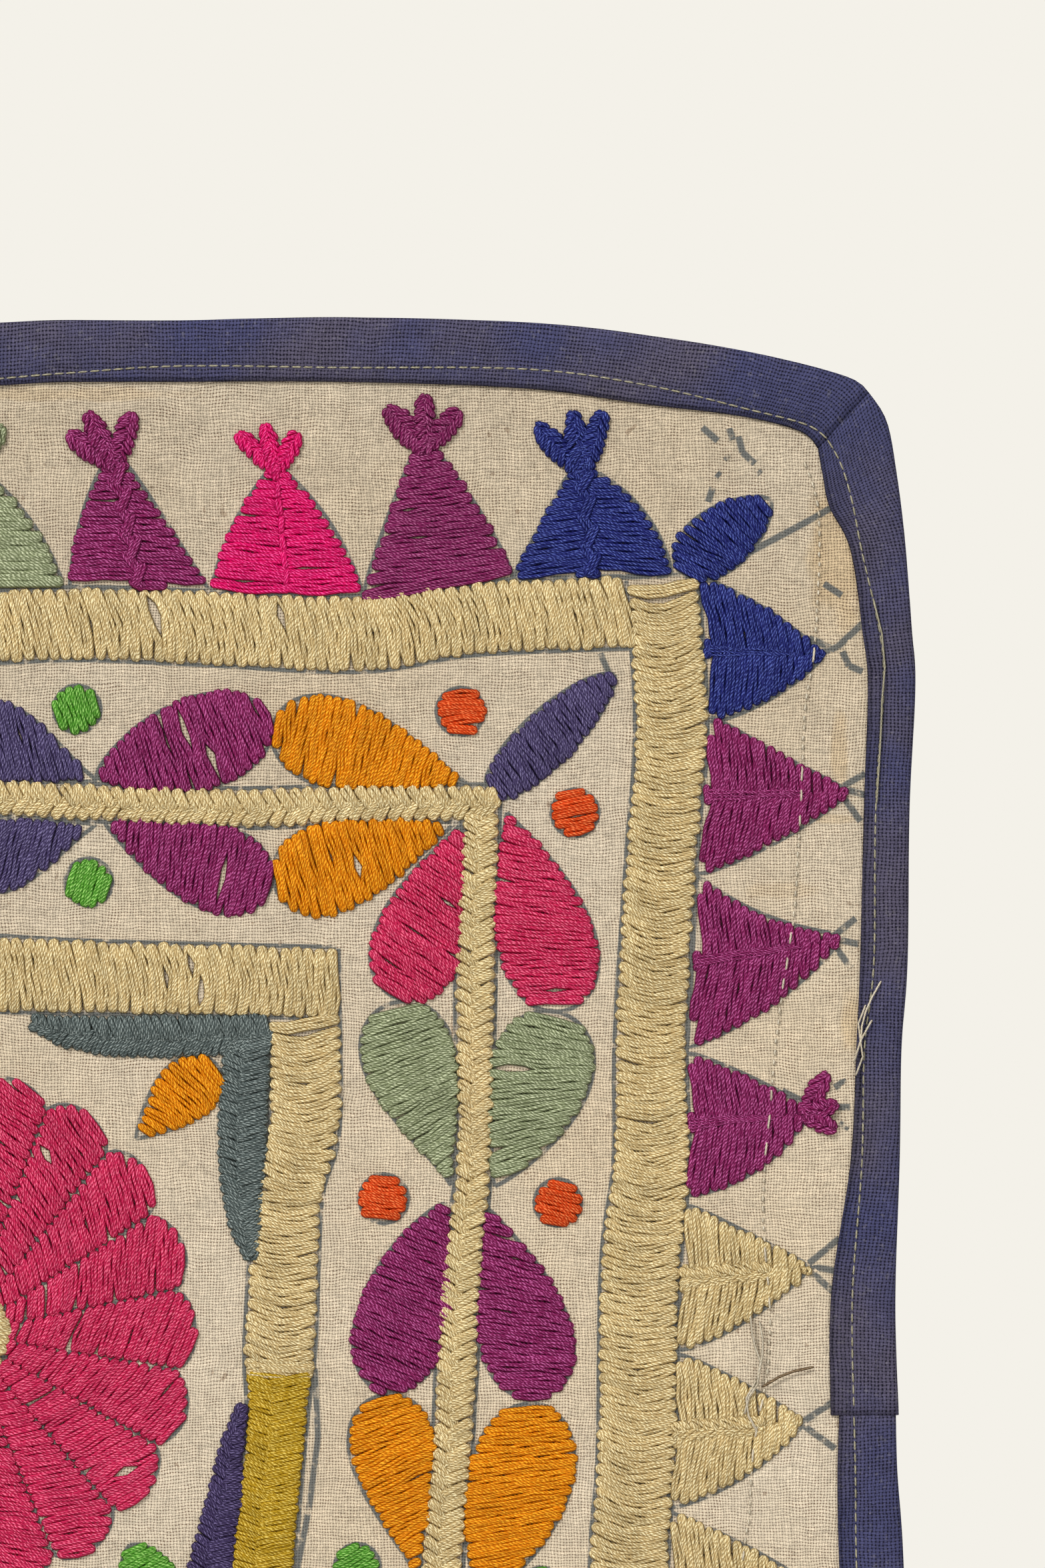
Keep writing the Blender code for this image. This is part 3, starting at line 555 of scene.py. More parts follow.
def smoothed(rows, spacing):
    """The smooth curve through the rows, read at even steps along its first two columns."""
    rows = np.array([tuple(row) for row in rows], dtype=float)
    held = np.vstack([rows[:1], rows, rows[-1:]])
    a, b, c, d = (held[k:len(held) - 3 + k, None, :] for k in range(4))
    t = np.linspace(0.0, 1.0, 12, endpoint=False)[None, :, None]
    fine = 0.5 * (2 * b + (c - a) * t + (2 * a - 5 * b + 4 * c - d) * t**2 + (3 * b - a - 3 * c + d) * t**3)
    fine = np.vstack([fine.reshape(-1, rows.shape[1]), rows[-1:]])
    length = lengths_along(fine)[-1]
    return read_at(fine, np.linspace(0.0, length, max(2, round(length / spacing)) + 1))


def turned(rows):
    """A binding table with top and bottom exchanged."""
    low = 2 * MIDDLE_Z
    return [row._replace(outer_z=low - row.outer_z, inner_z=low - row.inner_z) for row in rows]


flipped = [row._replace(outer_x=-row.outer_x, inner_x=-row.inner_x) for row in TOP_BINDING]
TOP_STRIP = flipped[:0:-1] + TOP_BINDING
STRIPS = {
    "binding_top": TOP_STRIP,
    "binding_right_upper": RIGHT_UPPER_BINDING,
    "binding_right_lower": RIGHT_LOWER_BINDING,
    "binding_bottom": turned(TOP_STRIP),
    "binding_left": LEFT_BINDING,
}
print(len(STRIPS), "strips")

# %% [markdown]
# The ground is one thin sheet. A flat grid is stretched between the four sides of the cloth, which gives
# even cells everywhere, and each point then moves back or forward to where the cloth hangs. Solidify
# gives it two faces.

# %% Ground cloth
INSIDE_FOLD = 1.5  # how far inside the binding's outer edge the cloth ends
CLOTH = 0.6  # thickness of the cloth, in millimetres like every length from here on
CELLS_ACROSS = 186
CELLS_DOWN = 200


def cloth_side(rows):
    """Even places along one side of the cloth, and how far along they are from 0 to 1."""
    fine = smoothed(rows, 2.0)
    outer, inner = fine[:, :2], fine[:, 2:4]
    share = INSIDE_FOLD / np.hypot(*(inner - outer).T)
    places = outer + (inner - outer) * share[:, None]
    lengths = lengths_along(places)
    return places, lengths / lengths[-1]


def grid(across, down):
    """A flat grid, and the place of each of its corners from 0 to 1."""
    bm = bmesh.new()
    bmesh.ops.create_grid(bm, x_segments=across, y_segments=down, size=0.5)
    return bm, np.array([v.co[:2] for v in bm.verts]) + 0.5


def lay(bm, places, back):
    """Moves the corners of a grid to places in millimetres."""
    for v, (x, z), y in zip(bm.verts, places, back):
        v.co = (x * MM, y * MM, z * MM)
    bmesh.ops.recalc_face_normals(bm, faces=bm.faces)


def ride(name, mesh, look):
    """A mesh as a shaded piece that rides on the body."""
    mesh.materials.append(look)
    mesh.shade_smooth()
    piece = add(name, mesh)
    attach(piece, "root")
    return piece


def new_piece(name, bm, look, thick=None):
    """A bmesh as a piece, with two faces that are thick millimetres apart where that is given."""
    mesh = bpy.data.meshes.new(name)
    bm.to_mesh(mesh)
    bm.free()
    piece = ride(name, mesh, look)
    if thick:
        solid = piece.modifiers.new("thickness", "SOLIDIFY")
        solid.thickness = thick * MM
        solid.offset = 0.0
    return piece


def make_ground():
    rows = (TOP_STRIP, turned(TOP_STRIP), LEFT_BINDING, RIGHT_UPPER_BINDING + RIGHT_LOWER_BINDING[1:])
    top, bottom, left, right = (cloth_side(row) for row in rows)
    bm, flat = grid(CELLS_ACROSS, CELLS_DOWN)
    s, t = flat[:, 0], 1.0 - flat[:, 1]
    s1, t1 = s[:, None], t[:, None]
    sides = (1 - t1) * read_at(top[0], s, top[1]) + t1 * read_at(bottom[0], s, bottom[1])
    sides += (1 - s1) * read_at(left[0], t, left[1]) + s1 * read_at(right[0], t, right[1])
    corners = (1 - t1) * ((1 - s1) * top[0][0] + s1 * top[0][-1])
    corners += t1 * ((1 - s1) * bottom[0][0] + s1 * bottom[0][-1])
    places = sides - corners
    lay(bm, places, hang(*places.T))
    return new_piece("fine_ground_cloth", bm, COTTON, CLOTH)


ground = make_ground()
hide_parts("ground_cloth")
print("ground cloth has", len(ground.data.polygons), "cells")

# %% [markdown]
# Each binding strip wraps the edge and is turned under on the front, where the topstitch pulls it down
# into a trough. Its section is a list of how far in and how far out the fabric lies, from the turned
# edge, over the front, round the fold and to the back. The grid is laid along the strip, section by
# section, and Solidify gives it its thickness.

# %% Binding strips
STRIP = 0.42  # thickness of the binding's fabric
STATION = 2.0  # distance from one section of a strip to the next
FRONT = 1.28  # how far out the flat part of the binding lies
TROUGH = 0.98  # how far out it lies under the topstitch
END_ROLL = 1.6  # how far from a strip's end it starts to roll down


def strip_section(width, stitch):
    """Distance in from the outer edge and distance out from the cloth's middle, in millimetres."""
    seam = width - stitch
    front = [
        (width - 3.4, 0.62), (width - 1.0, 0.62), (width - 0.22, 0.72), (width, 0.94), (width - 0.3, 1.18),
        (width - 0.9, FRONT), (seam + 0.75, 1.2), (seam, TROUGH), (seam - 0.8, 1.22),
        (seam - 2.0, FRONT + 0.06), (seam * 0.45, FRONT + 0.1), (2.2, FRONT), (0.9, 1.16), (0.35, 0.8),
        (0.05, 0.32),
    ]
    behind = [
        (0.05, 0.32), (0.35, 0.8), (0.9, 1.16), (2.2, FRONT), (seam * 0.5, FRONT), (seam - 1.0, 1.2),
        (seam, TROUGH), (seam + 0.8, 1.18), (width - 0.3, 1.12), (width, 0.86), (width - 0.8, 0.6),
        (width - 3.0, 0.6),
    ]
    return front + [(inward, -out) for inward, out in behind]


def strip_ring(row, far, near_end):
    """The section of a strip at one row of its edges, as x, how far out, and z."""
    outer_x, outer_z, inner_x, inner_z, stitch = row
    width = math.dist((outer_x, outer_z), (inner_x, inner_z))
    drop = 0.35 * max(0.0, 1.0 - near_end / END_ROLL) ** 2
    drawn = 0.1 * math.sin(far / 1.45 + 0.8 * math.sin(far / 9.0)) + 0.06 * math.sin(far / 3.1)
    ring = []
    for inward, out in strip_section(width, stitch):
        share = inward / width
        near_seam = math.exp(-((inward - width + stitch) / 2.6) ** 2)
        reach = out - math.copysign(drop + drawn * near_seam, out)
        ring.append((outer_x + (inner_x - outer_x) * share, reach, outer_z + (inner_z - outer_z) * share))
    return ring


def make_strip(name, rows):
    fine = smoothed(rows, STATION)
    lengths = lengths_along(fine)
    sections = np.array([
        strip_ring(row, far, min(far, lengths[-1] - far)) for row, far in zip(fine, lengths)
    ])
    rings, points = sections.shape[:2]
    bm, spots = grid(rings - 1, points - 1)
    i = np.rint(spots[:, 0] * (rings - 1)).astype(int)
    j = np.rint(spots[:, 1] * (points - 1)).astype(int)
    x, out, z = sections[i, j].T
    steps = np.hypot(np.diff(sections[:, :, 0], axis=1), np.diff(sections[:, :, 2], axis=1))
    steps = np.hypot(steps, np.diff(sections[:, :, 1], axis=1))
    inward = np.concatenate([np.zeros((rings, 1)), np.cumsum(steps, axis=1)], axis=1)
    bm.verts.index_update()
    layer = bm.loops.layers.uv.new("along")
    for face in bm.faces:
        for loop in face.loops:
            k = loop.vert.index
            loop[layer].uv = (lengths[i[k]] * MM, inward[i[k], j[k]] * MM)
    lay(bm, np.column_stack([x, z]), hang(x, z) - out)
    piece = new_piece("fine_" + name, bm, NAVY, STRIP)
    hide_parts(name)
    return piece


strips = {name: make_strip(name, rows) for name, rows in STRIPS.items()}
print("strips have", sum(len(piece.data.polygons) for piece in strips.values()), "cells")

# %% [markdown]
# A hanging like this has thousands of stitches. Each is a bundle of a few strands that rise out of one
# hole, run side by side over the cloth and go down through another hole, which draws them together to a
# point. The strands are made as one mesh for each colour: the paths are collected first, and arrays then
# give every strand a three-sided section, with more sections near its ends, where it bends down.

# %% Stitch engine
Strand = namedtuple("Strand", "path width lift")
FACE = 0.3  # how far the cloth's front lies from its middle
SINK = 0.25  # how deep a strand's ends go under the cloth's face
EASE = 0.8  # how far from its ends a strand has risen to its full height
SHORT = 2.6  # a strand shorter than this has sections at its ends only
LONG_STEP = 3.4  # length of a strand's segments between its ends
FLATTENED = 0.68  # thickness of a strand as a share of its width
SHIFT = 9.0  # how far the twist of one strand may be ahead of another's
SECTION = 3
ASIDE = np.array([1.0, 0.0, -1.0])
UP = np.array([-0.4, 1.0, -0.4])
ROUND = np.array([0.25, 0.5, 0.75, 1.25])  # how far round the strand each corner lies; 0.5 is its top
made_triangles = {}


def stations(length):
    """Distances along a strand at which it gets a section."""
    if length < SHORT:
        return length * np.array([0.0, 0.22, 0.78, 1.0])
    between = int(np.clip(round((length - 2.0) / LONG_STEP), 1, 6))
    return np.concatenate([[0.0, 0.4], np.linspace(1.0, length - 1.0, between + 1), [length - 0.4, length]])


def sew(name, strands, look, side_of_cloth=-1.0, face=FACE):
    """Every strand as one mesh of closed threads. side_of_cloth is -1 for the front."""
    by_rings = {}
    for strand in strands:
        far = stations(lengths_along(strand.path)[-1])
        by_rings.setdefault(len(far), []).append((read_at(strand.path, far), far, strand.width, strand.lift))
    places, maps, tones, corners, sizes = [], [], [], [], []
    base = 0
    for rings, held in by_rings.items():
        count = len(held)
        even, far, width, lift = (np.array(column) for column in zip(*held))
        width, lift = width[:, None], lift[:, None]
        ahead = unit(np.gradient(even, axis=1))
        from_end = np.minimum(far, far[:, -1:] - far)
        risen = np.clip(from_end / np.minimum(EASE, far[:, -1:] * 0.4), 0.0, 1.0)
        risen = risen * (2.0 - risen)
        half = width * (0.16 + 0.36 * risen)
        thick = width * FLATTENED * 0.5
        height = -SINK + (SINK + lift + thick) * risen
        x = even[:, :, 0, None] - ahead[:, :, 1, None] * half[:, :, None] * ASIDE
        z = even[:, :, 1, None] + ahead[:, :, 0, None] * half[:, :, None] * ASIDE
        out = face + height[:, :, None] + thick[:, :, None] * UP
        middle = hang(even[:, :, 0].ravel(), even[:, :, 1].ravel()).reshape(even.shape[:2])
        places.append(np.stack([x, middle[:, :, None] + side_of_cloth * out, z], axis=3).reshape(-1, 3))
        tone = rng.random(count)
        tones.append(np.repeat(tone, rings * SECTION))
        first = base + np.arange(count)[:, None, None] * rings * SECTION
        ring = np.arange(rings - 1)[None, :, None] * SECTION
        corner = np.arange(SECTION)[None, None, :]
        one, two = first + ring + corner, first + ring + (corner + 1) % SECTION
        corners.append(np.stack([one, two, two + SECTION, one + SECTION], axis=3).ravel())
        sizes.append(np.full(one.size, 4))
        shifted = far + tone[:, None] * SHIFT
        u0, u1 = (np.broadcast_to(part[:, :, None], one.shape) for part in (shifted[:, :-1], shifted[:, 1:]))
        v0, v1 = (np.broadcast_to(ROUND[corner + k], one.shape) for k in (0, 1))
        maps.append(np.stack([u0, v0, u0, v1, u1, v1, u1, v0], axis=3).reshape(-1, 2))
        start = first[:, :, 0] + np.arange(SECTION)[None, ::-1]
        last = first[:, :, 0] + (rings - 1) * SECTION + np.arange(SECTION)[None, :]
        corners.append(np.stack([start, last], axis=1).ravel())
        sizes.append(np.full(2 * count, SECTION))
        ends = np.repeat(shifted[:, [0, -1]].ravel(), SECTION)
        maps.append(np.stack([ends, np.full(ends.size, 0.5)], axis=1))
        base += count * rings * SECTION
    corners, sizes = np.concatenate(corners), np.concatenate(sizes)
    mesh = bpy.data.meshes.new(name)
    mesh.vertices.add(base)
    mesh.vertices.foreach_set("co", (np.concatenate(places) * MM).ravel())
    mesh.loops.add(len(corners))
    mesh.loops.foreach_set("vertex_index", corners)
    mesh.polygons.add(len(sizes))
    mesh.polygons.foreach_set("loop_start", np.concatenate([[0], np.cumsum(sizes)[:-1]]))
    mesh.update(calc_edges=True)
    mesh.uv_layers.new(name="along").data.foreach_set("uv", np.concatenate(maps).ravel())
    mesh.attributes.new("tone", "FLOAT", "POINT").data.foreach_set("value", np.concatenate(tones))
    if side_of_cloth > 0:
        mesh.flip_normals()
    made_triangles[name] = int((sizes - 2).sum())
    print(name, len(strands), "strands", made_triangles[name], "triangles")
    return ride(name, mesh, look)


# %% [markdown]
# Where the cloth shows between strands, they have parted in a narrow lens. A parting pushes the paths on
# both of its sides away from it. The photo shows the upper right part close up; the rest is worked in
# somewhat thicker strands, which keeps the mesh light.

# %% Partings and bundles
Parting = namedtuple("Parting", "x z long wide")
PARTINGS = rows_of(Parting, [
    (46.3, -85.1, 8, 1.5), (52.2, -90.7, 7.5, 1.7), (54.5, -116.5, 11.5, 1.3), (83.2, -114.2, 3, 1.5),
    (82.7, -109.8, 2, 1), (101.1, -121.1, 3, 1.6), (93.8, -127, 5, 0.8), (89.6, -134.1, 4.4, 1),
    (115.2, -156.2, 10, 1.6), (124.5, -139.9, 3, 1.2), (117, -181, 3, 0.9), (47.9, -134.8, 3.6, 1.4),
    (50.2, -140, 5, 2), (40.2, -61, 9, 2.1), (66.5, -60.6, 5.4, 1.7), (17.5, -174.4, 2.8, 2.2),
    (26, -189.4, 3, 1.5), (11.1, -183.5, 2.2, 1.4), (41.7, -225.4, 3.2, 1.2), (33.7, -240.9, 3.4, 2.1),
    (66.6, -226.4, 4, 1.1), (73.1, -51.2, 6.6, 0.8), (59.1, -41.9, 2.6, 0.9), (94.5, -39.3, 2.8, 0.7),
    (96.3, -45, 2, 0.8), (93.4, -206, 3.6, 0.8), (97.5, -217.4, 3, 0.7), (115, -207.5, 4.5, 0.6),
])
ALL_PARTINGS = [row._replace(x=row.x * side) for row in PARTINGS for side in (1, -1)]
STRAND_WIDTH = 0.98
COARSE = 1.28  # strands beyond the photo's view are this much thicker
VIEW_LEFT = -4.0
VIEW_BOTTOM = -266.0


def coarseness(x, z):
    return 1.0 if x > VIEW_LEFT and z > VIEW_BOTTOM else COARSE


def parted(line):
    """A path pushed aside by the partings that it passes."""
    ahead = line[-1] - line[0]
    reach = np.hypot(*ahead) / 2 + 6.0
    ahead = ahead / max(np.hypot(*ahead), 1e-9)
    normal = left_of(ahead)
    middle = (line[0] + line[-1]) / 2
    for row in ALL_PARTINGS:
        if abs(row.x - middle[0]) > reach or abs(row.z - middle[1]) > reach:
            continue
        off = line - (row.x, row.z)
        along = np.clip(1.0 - (2.1 * (off @ ahead) / row.long) ** 2, 0.0, 1.0)
        if along.max() <= 0.0:
            continue
        aside = off @ normal
        way = 1.0 if (aside * along).sum() > 0 else -1.0
        push = 0.7 * row.wide * np.exp(-np.maximum(way * aside, 0.0) / 1.5) + np.maximum(-way * aside, 0.0)
        line = line + (way * push * along)[:, None] * normal
    return line


def swaying(start, end, amount=0.15, bow=0.0):
    """A path from start to end that sways aside a little, and bows by a given amount."""
    start, end = np.asarray(start, dtype=float), np.asarray(end, dtype=float)
    length = max(math.dist(start, end), 1e-9)
    t = np.linspace(0.0, 1.0, max(7, int(length / 0.7)))[:, None]
    swell = np.sin(np.pi * t)
    sway = np.sin(t * length / 2.2 + rng.uniform(0, 6)) * swell * amount + bow * swell
    return start + (end - start) * t + left_of(end - start) / length * sway


def bundle(line, strands, spacing, lift=0.1, close=1.2):
    """Strands side by side along a path, drawn together at its ends."""
    far = lengths_along(line)
    from_end = np.minimum(far, far[-1] - far)
    opening = 0.1 + 0.96 * np.clip(from_end / min(close, far[-1] * 0.4), 0.0, 1.0)
    normal = left_of(unit(np.gradient(line, axis=0)))
    made = []
    for k in range(strands):
        off = k - (strands - 1) / 2
        sway = 0.19 * np.sin(far / 1.6 + rng.uniform(0, 6))
        path_here = line + normal * ((off * spacing + sway) * opening)[:, None]
        crown = 0.05 * (1.0 - (2 * off / strands) ** 2) + rng.uniform(0.0, 0.22)
        width = STRAND_WIDTH * coarseness(*line[0]) * rng.uniform(0.94, 1.06)
        made.append(Strand(parted(path_here), width, lift + crown))
    return made


print(len(ALL_PARTINGS), "partings")

# %% [markdown]
# Satin stitch fills a leaf: parallel bundles from one side of the outline to the other. A line is laid
# across the outline for each bundle, and it is cut where it crosses. The bundles' pointed ends make the
# teeth that run round every motif.


# %% Satin stitch
def direction(degrees):
    return np.array([math.cos(math.radians(degrees)), math.sin(math.radians(degrees))])


def crossings(outline, through, ahead):
    """Where a line crosses an outline, as pairs of distances from a point on it."""
    aside = (outline - through) @ left_of(ahead)
    along = (outline - through) @ ahead
    next_aside, next_along = np.roll(aside, -1), np.roll(along, -1)
    hit = (aside > 0) != (next_aside > 0)
    share = aside[hit] / (aside[hit] - next_aside[hit])
    found = np.sort(along[hit] + (next_along[hit] - along[hit]) * share)
    return found.reshape(-1, 2)


def satin(outline, lean, strands=3, fan=0.0, lift=0.1, tooth=0.7):
    """Bundles at an angle of lean degrees, which turn by fan degrees for each millimetre."""
    outline = np.asarray(outline, dtype=float)
    middle = outline.mean(axis=0)
    normal = left_of(direction(lean))
    reach = (outline - middle) @ normal
    pitch = 0.6 * strands * coarseness(*middle)
    off = reach.min() + 0.35 * pitch
    made = []
    while off < reach.max() - 0.1 * pitch:
        step = pitch * rng.uniform(0.88, 1.12)
        ahead = direction(lean + fan * off + rng.normal(0, 1.5))
        through = middle + normal * (off + step * 0.2)
        for low, high in crossings(outline, through, ahead):
            if high - low < 1.1:
                continue
            low -= 0.3 + tooth * rng.uniform(0.0, 1.0)
            high += 0.3 + tooth * rng.uniform(0.0, 1.0)
            line = swaying(through + ahead * low, through + ahead * high, 0.22, rng.normal(0.0, 0.14))
            made += bundle(line, strands, step / strands * 1.11, lift)
        off += step
    return made


print("satin is ready")

# %% [markdown]
# The frames are worked in broad bundles across a band. Each was pulled against the last, so they sag
# along the band between their two holes. A band is given by the rows of its middle line. At a corner one
# band runs through and the other stops short of it.

# %% Bands
Course = namedtuple("Course", "x z half_width corner", defaults=(False,))
OUTER_FRAME = rows_of(Course, [
    (0, -63.8, 7), (24, -62.9, 7.1), (50, -63.8, 7.2), (83, -65.1, 7.4), (103, -62.4, 7), (119, -61.2, 7.1),
    (147.3, -60.4, 7, True), (148.7, -86, 7), (146.6, -112, 6.8), (144.4, -150, 7), (144.6, -176, 7.4),
    (142.3, -198, 7.8), (141.4, -238, 7.6), (139.8, -261, 7.6), (139.6, -310, 7.2),
    (140.6, -367.4, 7, True), (96, -365.2, 7.1), (48, -366.6, 7.2), (0, -365, 7),
])
VINE_STEM = rows_of(Course, [
    (0, -99.2, 3.4), (27, -100.5, 3.3), (57, -101.7, 3.6), (84, -100.8, 3.4), (108.9, -100.6, 3.3, True),
    (107.6, -136, 3.7), (107.2, -176, 3.1), (104.6, -200, 3.8), (102.8, -234, 3.7), (100.6, -261, 3.8),
    (100.2, -300, 3.4), (101.4, -327.4, 3.3, True), (52, -326.4, 3.6), (0, -328.4, 3.4),
])
INNER_FRAME = rows_of(Course, [
    (0, -136.3, 7.5), (26, -137.2, 7.1), (71.4, -138.2, 6.9, True), (71.6, -168, 6.9), (68.3, -183, 6.5),
    (66.5, -214, 6.9), (65.7, -232, 5.8), (62.8, -261, 6.4), (62.2, -289.8, 6.8, True), (30, -291.2, 7.1),
    (0, -290.4, 7.3),
])


def runs(course):
    """The three runs of a course's right half: to its first corner, down the side, and back."""
    parts = [[]]
    for row in course:
        parts[-1].append(row[:3])
        if row.corner:
            parts.append([row[:3]])
    return parts


def run_line(part, longer):
    """A run as an even line, made longer at both ends, or shorter where that is below zero. A run that
    starts or ends on the middle line also gets its mirror image."""
    if part[-1][0] == 0.0:
        part = part[::-1]
    if part[0][0] == 0.0:
        part = [(-x, z, w) for x, z, w in part[:0:-1]] + part
    line = smoothed(part, 2.0)
    length = lengths_along(line)[-1]
    wanted = np.arange(-longer, length + longer, 0.5)
    made = read_at(line, wanted)
    for end, inside, beyond in ((0, 1, -wanted), (-1, -2, wanted - length)):
        ahead = (line[end, :2] - line[inside, :2]) / math.dist(line[end, :2], line[inside, :2])
        made[beyond > 0, :2] = line[end, :2] + ahead * beyond[beyond > 0, None]
    return made


def edges_of(line, further=0.0):
    """The left and the right edge of a line with half widths, and its lengths."""
    off = left_of(unit(np.gradient(line[:, :2], axis=0))) * (line[:, 2:3] + further)
    return line[:, :2] + off, line[:, :2] - off, lengths_along(line)


def band(line, lean=1.0, sag=1.2, strands=4, lift=0.1, tooth=0.45):
    """Bundles across a line, from edge to edge, which sag along it in the middle."""
    left, right, lengths = edges_of(line)
    made = []
    far = 0.5
    while far < lengths[-1] - 0.4:
        step = 0.62 * strands * coarseness(*read_at(line[:, :2], far, lengths)) * rng.uniform(0.9, 1.1)
        middle = far + step / 2
        tilt = lean + 1.1 * math.sin(middle / 17.0 + lean) + rng.normal(0, 0.25)
        start = read_at(left, np.clip(middle - tilt / 2, 0.4, lengths[-1] - 0.4), lengths)
        end = read_at(right, np.clip(middle + tilt / 2, 0.4, lengths[-1] - 0.4), lengths)
        ahead = (end - start) / math.dist(start, end)
        start = start - ahead * (0.3 + tooth * rng.uniform(-0.3, 1.0))
        end = end + ahead * (0.3 + tooth * rng.uniform(-0.3, 1.0))
        room = min(1.0, middle / 4.0, (lengths[-1] - middle) / 4.0)
        bow = (sag + 0.5 * math.sin(middle / 9.0) + rng.normal(0, 0.14)) * max(room, 0.0)
        made += bundle(swaying(start, end, 0.24, bow), strands, step / strands * 1.02, lift)
        far += step
    return made


print("bands are ready")

# %% [markdown]
# The vine's stem, the brackets and the tufts are worked in fishbone stitch: short stitches from each edge
# in turn, which cross in the middle and make a plait.


# %% Fishbone
def fishbone(line, pitch=1.86, strands=3, lift=0.14, advance=2.2, past=0.25, spacing=0.6):
    """Bundles from both edges in turn that meet past the middle, further along the line."""
    left, right, lengths = edges_of(line)
    coarse = coarseness(*line[len(line) // 2, :2])
    made = []
    far = -advance * 0.6
    turn = 0
    while far < lengths[-1] - 0.2:
        one, two = (left, right) if turn % 2 else (right, left)
        start = read_at(one, np.clip(far, 0.0, lengths[-1]), lengths)
        end_far = np.clip(far + advance + rng.normal(0.0, 0.25), 0.0, lengths[-1])
        end = read_at(line[:, :2], end_far, lengths)
        end = end + (read_at(two, end_far, lengths) - end) * past
        if math.dist(start, end) > 0.8:
            start = start + (start - end) / math.dist(start, end) * rng.uniform(0.1, 0.5)
            height = lift + 0.2 * (turn % 2)
            made += bundle(swaying(start, end, 0.16), strands, spacing * coarse, height, close=0.9)
        turn += 1
        far += pitch * coarse * 0.5 * rng.uniform(0.86, 1.14)
    return made


print("fishbone is ready")

# %% [markdown]
# Now the motifs, each with its colour and the way its threads lean. Leaves are teardrops given by their
# tip, their round end and their widest place, as in the solids. The lean was read from the photo. Every
# outline is kept too, as it was drawn on the cloth before it was stitched.

# %% Leaves and dots
Leaf = namedtuple("Leaf", "colour tip_x tip_z end_x end_z half_width belly lean fan", defaults=(0.0,))
TOP_LEAVES = rows_of(Leaf, [
    ("orange", 105.6, -96.4, 65.6, -84, 9, 0.7, 75, 0.2),
    ("orange", 102.6, -105, 65.6, -118.4, 9.2, 0.7, 108, -0.3),
    ("purple", 28.5, -94.8, 64.4, -83.2, 9.4, 0.62, 110, -0.3),
    ("purple", 30.2, -104.8, 64.4, -118.8, 8.8, 0.68, 82, 0.4),
    ("slate", 27.6, -95.8, 0.8, -84.6, 7.6, 0.74, 106), ("slate", 27.4, -105.2, 0.8, -114.4, 7.2, 0.74, 76),
])
RIGHT_LEAVES = rows_of(Leaf, [
    ("pink", 105.6, -104.6, 91.2, -141.6, 9.2, 0.7, 145),
    ("pink", 114.2, -102.6, 126.6, -143.6, 9.8, 0.68, 173, 0.5),
    ("sage", 102.4, -180.8, 89.8, -143.2, 9.4, 0.72, 27, -0.6),
    ("sage", 111.8, -180.8, 125.8, -145, 10.4, 0.66, 4, -1.1),
    ("purple", 101, -185.2, 87.4, -224, 9.8, 0.62, 157),
    ("purple", 110, -186, 122, -225.4, 9.6, 0.68, 170, 0.5),
    ("orange", 95.2, -262.4, 88.2, -225.4, 8.6, 0.72, 25, -0.35),
    ("orange", 109.5, -266, 121.6, -227, 10.6, 0.62, 8, -0.3),
    ("sage", 95, -267.4, 86.4, -293.4, 7.2, 0.66, 150), ("sage", 106, -267.4, 115.4, -293.4, 7.4, 0.66, 30),
    ("pink", 95.4, -319.6, 86.4, -294.8, 7.2, 0.66, 34),
    ("pink", 106.2, -320.6, 115.4, -294.8, 7.4, 0.66, 146),
])
CORNER_LEAVES = rows_of(Leaf, [
    ("slate", 136.6, -73.8, 110.6, -99, 5.3, 0.56, 124),
    ("blue", 169.2, -37.2, 150.2, -51.6, 6.3, 0.6, 140, 1.6),
    ("orange", 36.6, -170.8, 53, -155.6, 6, 0.68, 140, 1.2),
    ("slate", 128.4, -353.2, 105.6, -334.4, 4.8, 0.52, 58),
    ("blue", 167.4, -391, 150, -377.2, 6.8, 0.54, 38), ("green", 35, -256.4, 44.4, -272.2, 5.2, 0.54, 30),
])
Dot = namedtuple("Dot", "colour x z radius lean")
TOP_DOTS = rows_of(Dot, [
    ("green", 23.7, -81, 4.7, 112), ("green", 26.2, -117.4, 4.7, 74), ("red", 104.7, -81.3, 4.8, 2),
    ("red", 128.4, -102.4, 4.7, 12),
])
RIGHT_DOTS = rows_of(Dot, [
    ("red", 88, -183.8, 4.9, 172), ("red", 125, -184.8, 4.7, 166), ("green", 82.5, -261, 4.5, 30),
    ("green", 121, -266, 4.5, 24),
])
LOWER_VINE = 0.93  # width of the vine's lower run, as a share of its upper run
CLEAR = 0.25  # bare cloth left between a motif and the frame or stem beside it
COURSES = (OUTER_FRAME, VINE_STEM, INNER_FRAME)
COURSE_LINES = [np.vstack([smoothed(part, 3.0) for part in runs(course)]) for course in COURSES]


def leaf_outline(leaf):
    """A teardrop: pointed at the tip, widest at the belly and round at the end."""
    tip = np.array([leaf.tip_x, leaf.tip_z])
    axis = np.array([leaf.end_x, leaf.end_z]) - tip
    aside = left_of(axis) / np.hypot(*axis)
    t = 0.5 - 0.5 * np.cos(np.linspace(0.0, math.pi, 26))
    rise = 0.5 * leaf.belly / (1 - leaf.belly)
    half = leaf.half_width * (t / leaf.belly) ** rise * np.sqrt((1 - t) / (1 - leaf.belly))
    left, right = (tip + axis * t[:, None] + way * aside * half[:, None] for way in (1, -1))
    return np.vstack([left, right[-2:0:-1]])


def circle(x, z, radius, sides=20):
    turns = np.arange(sides) * 2 * np.pi / sides
    return np.column_stack([x + radius * np.cos(turns), z + radius * np.sin(turns)])


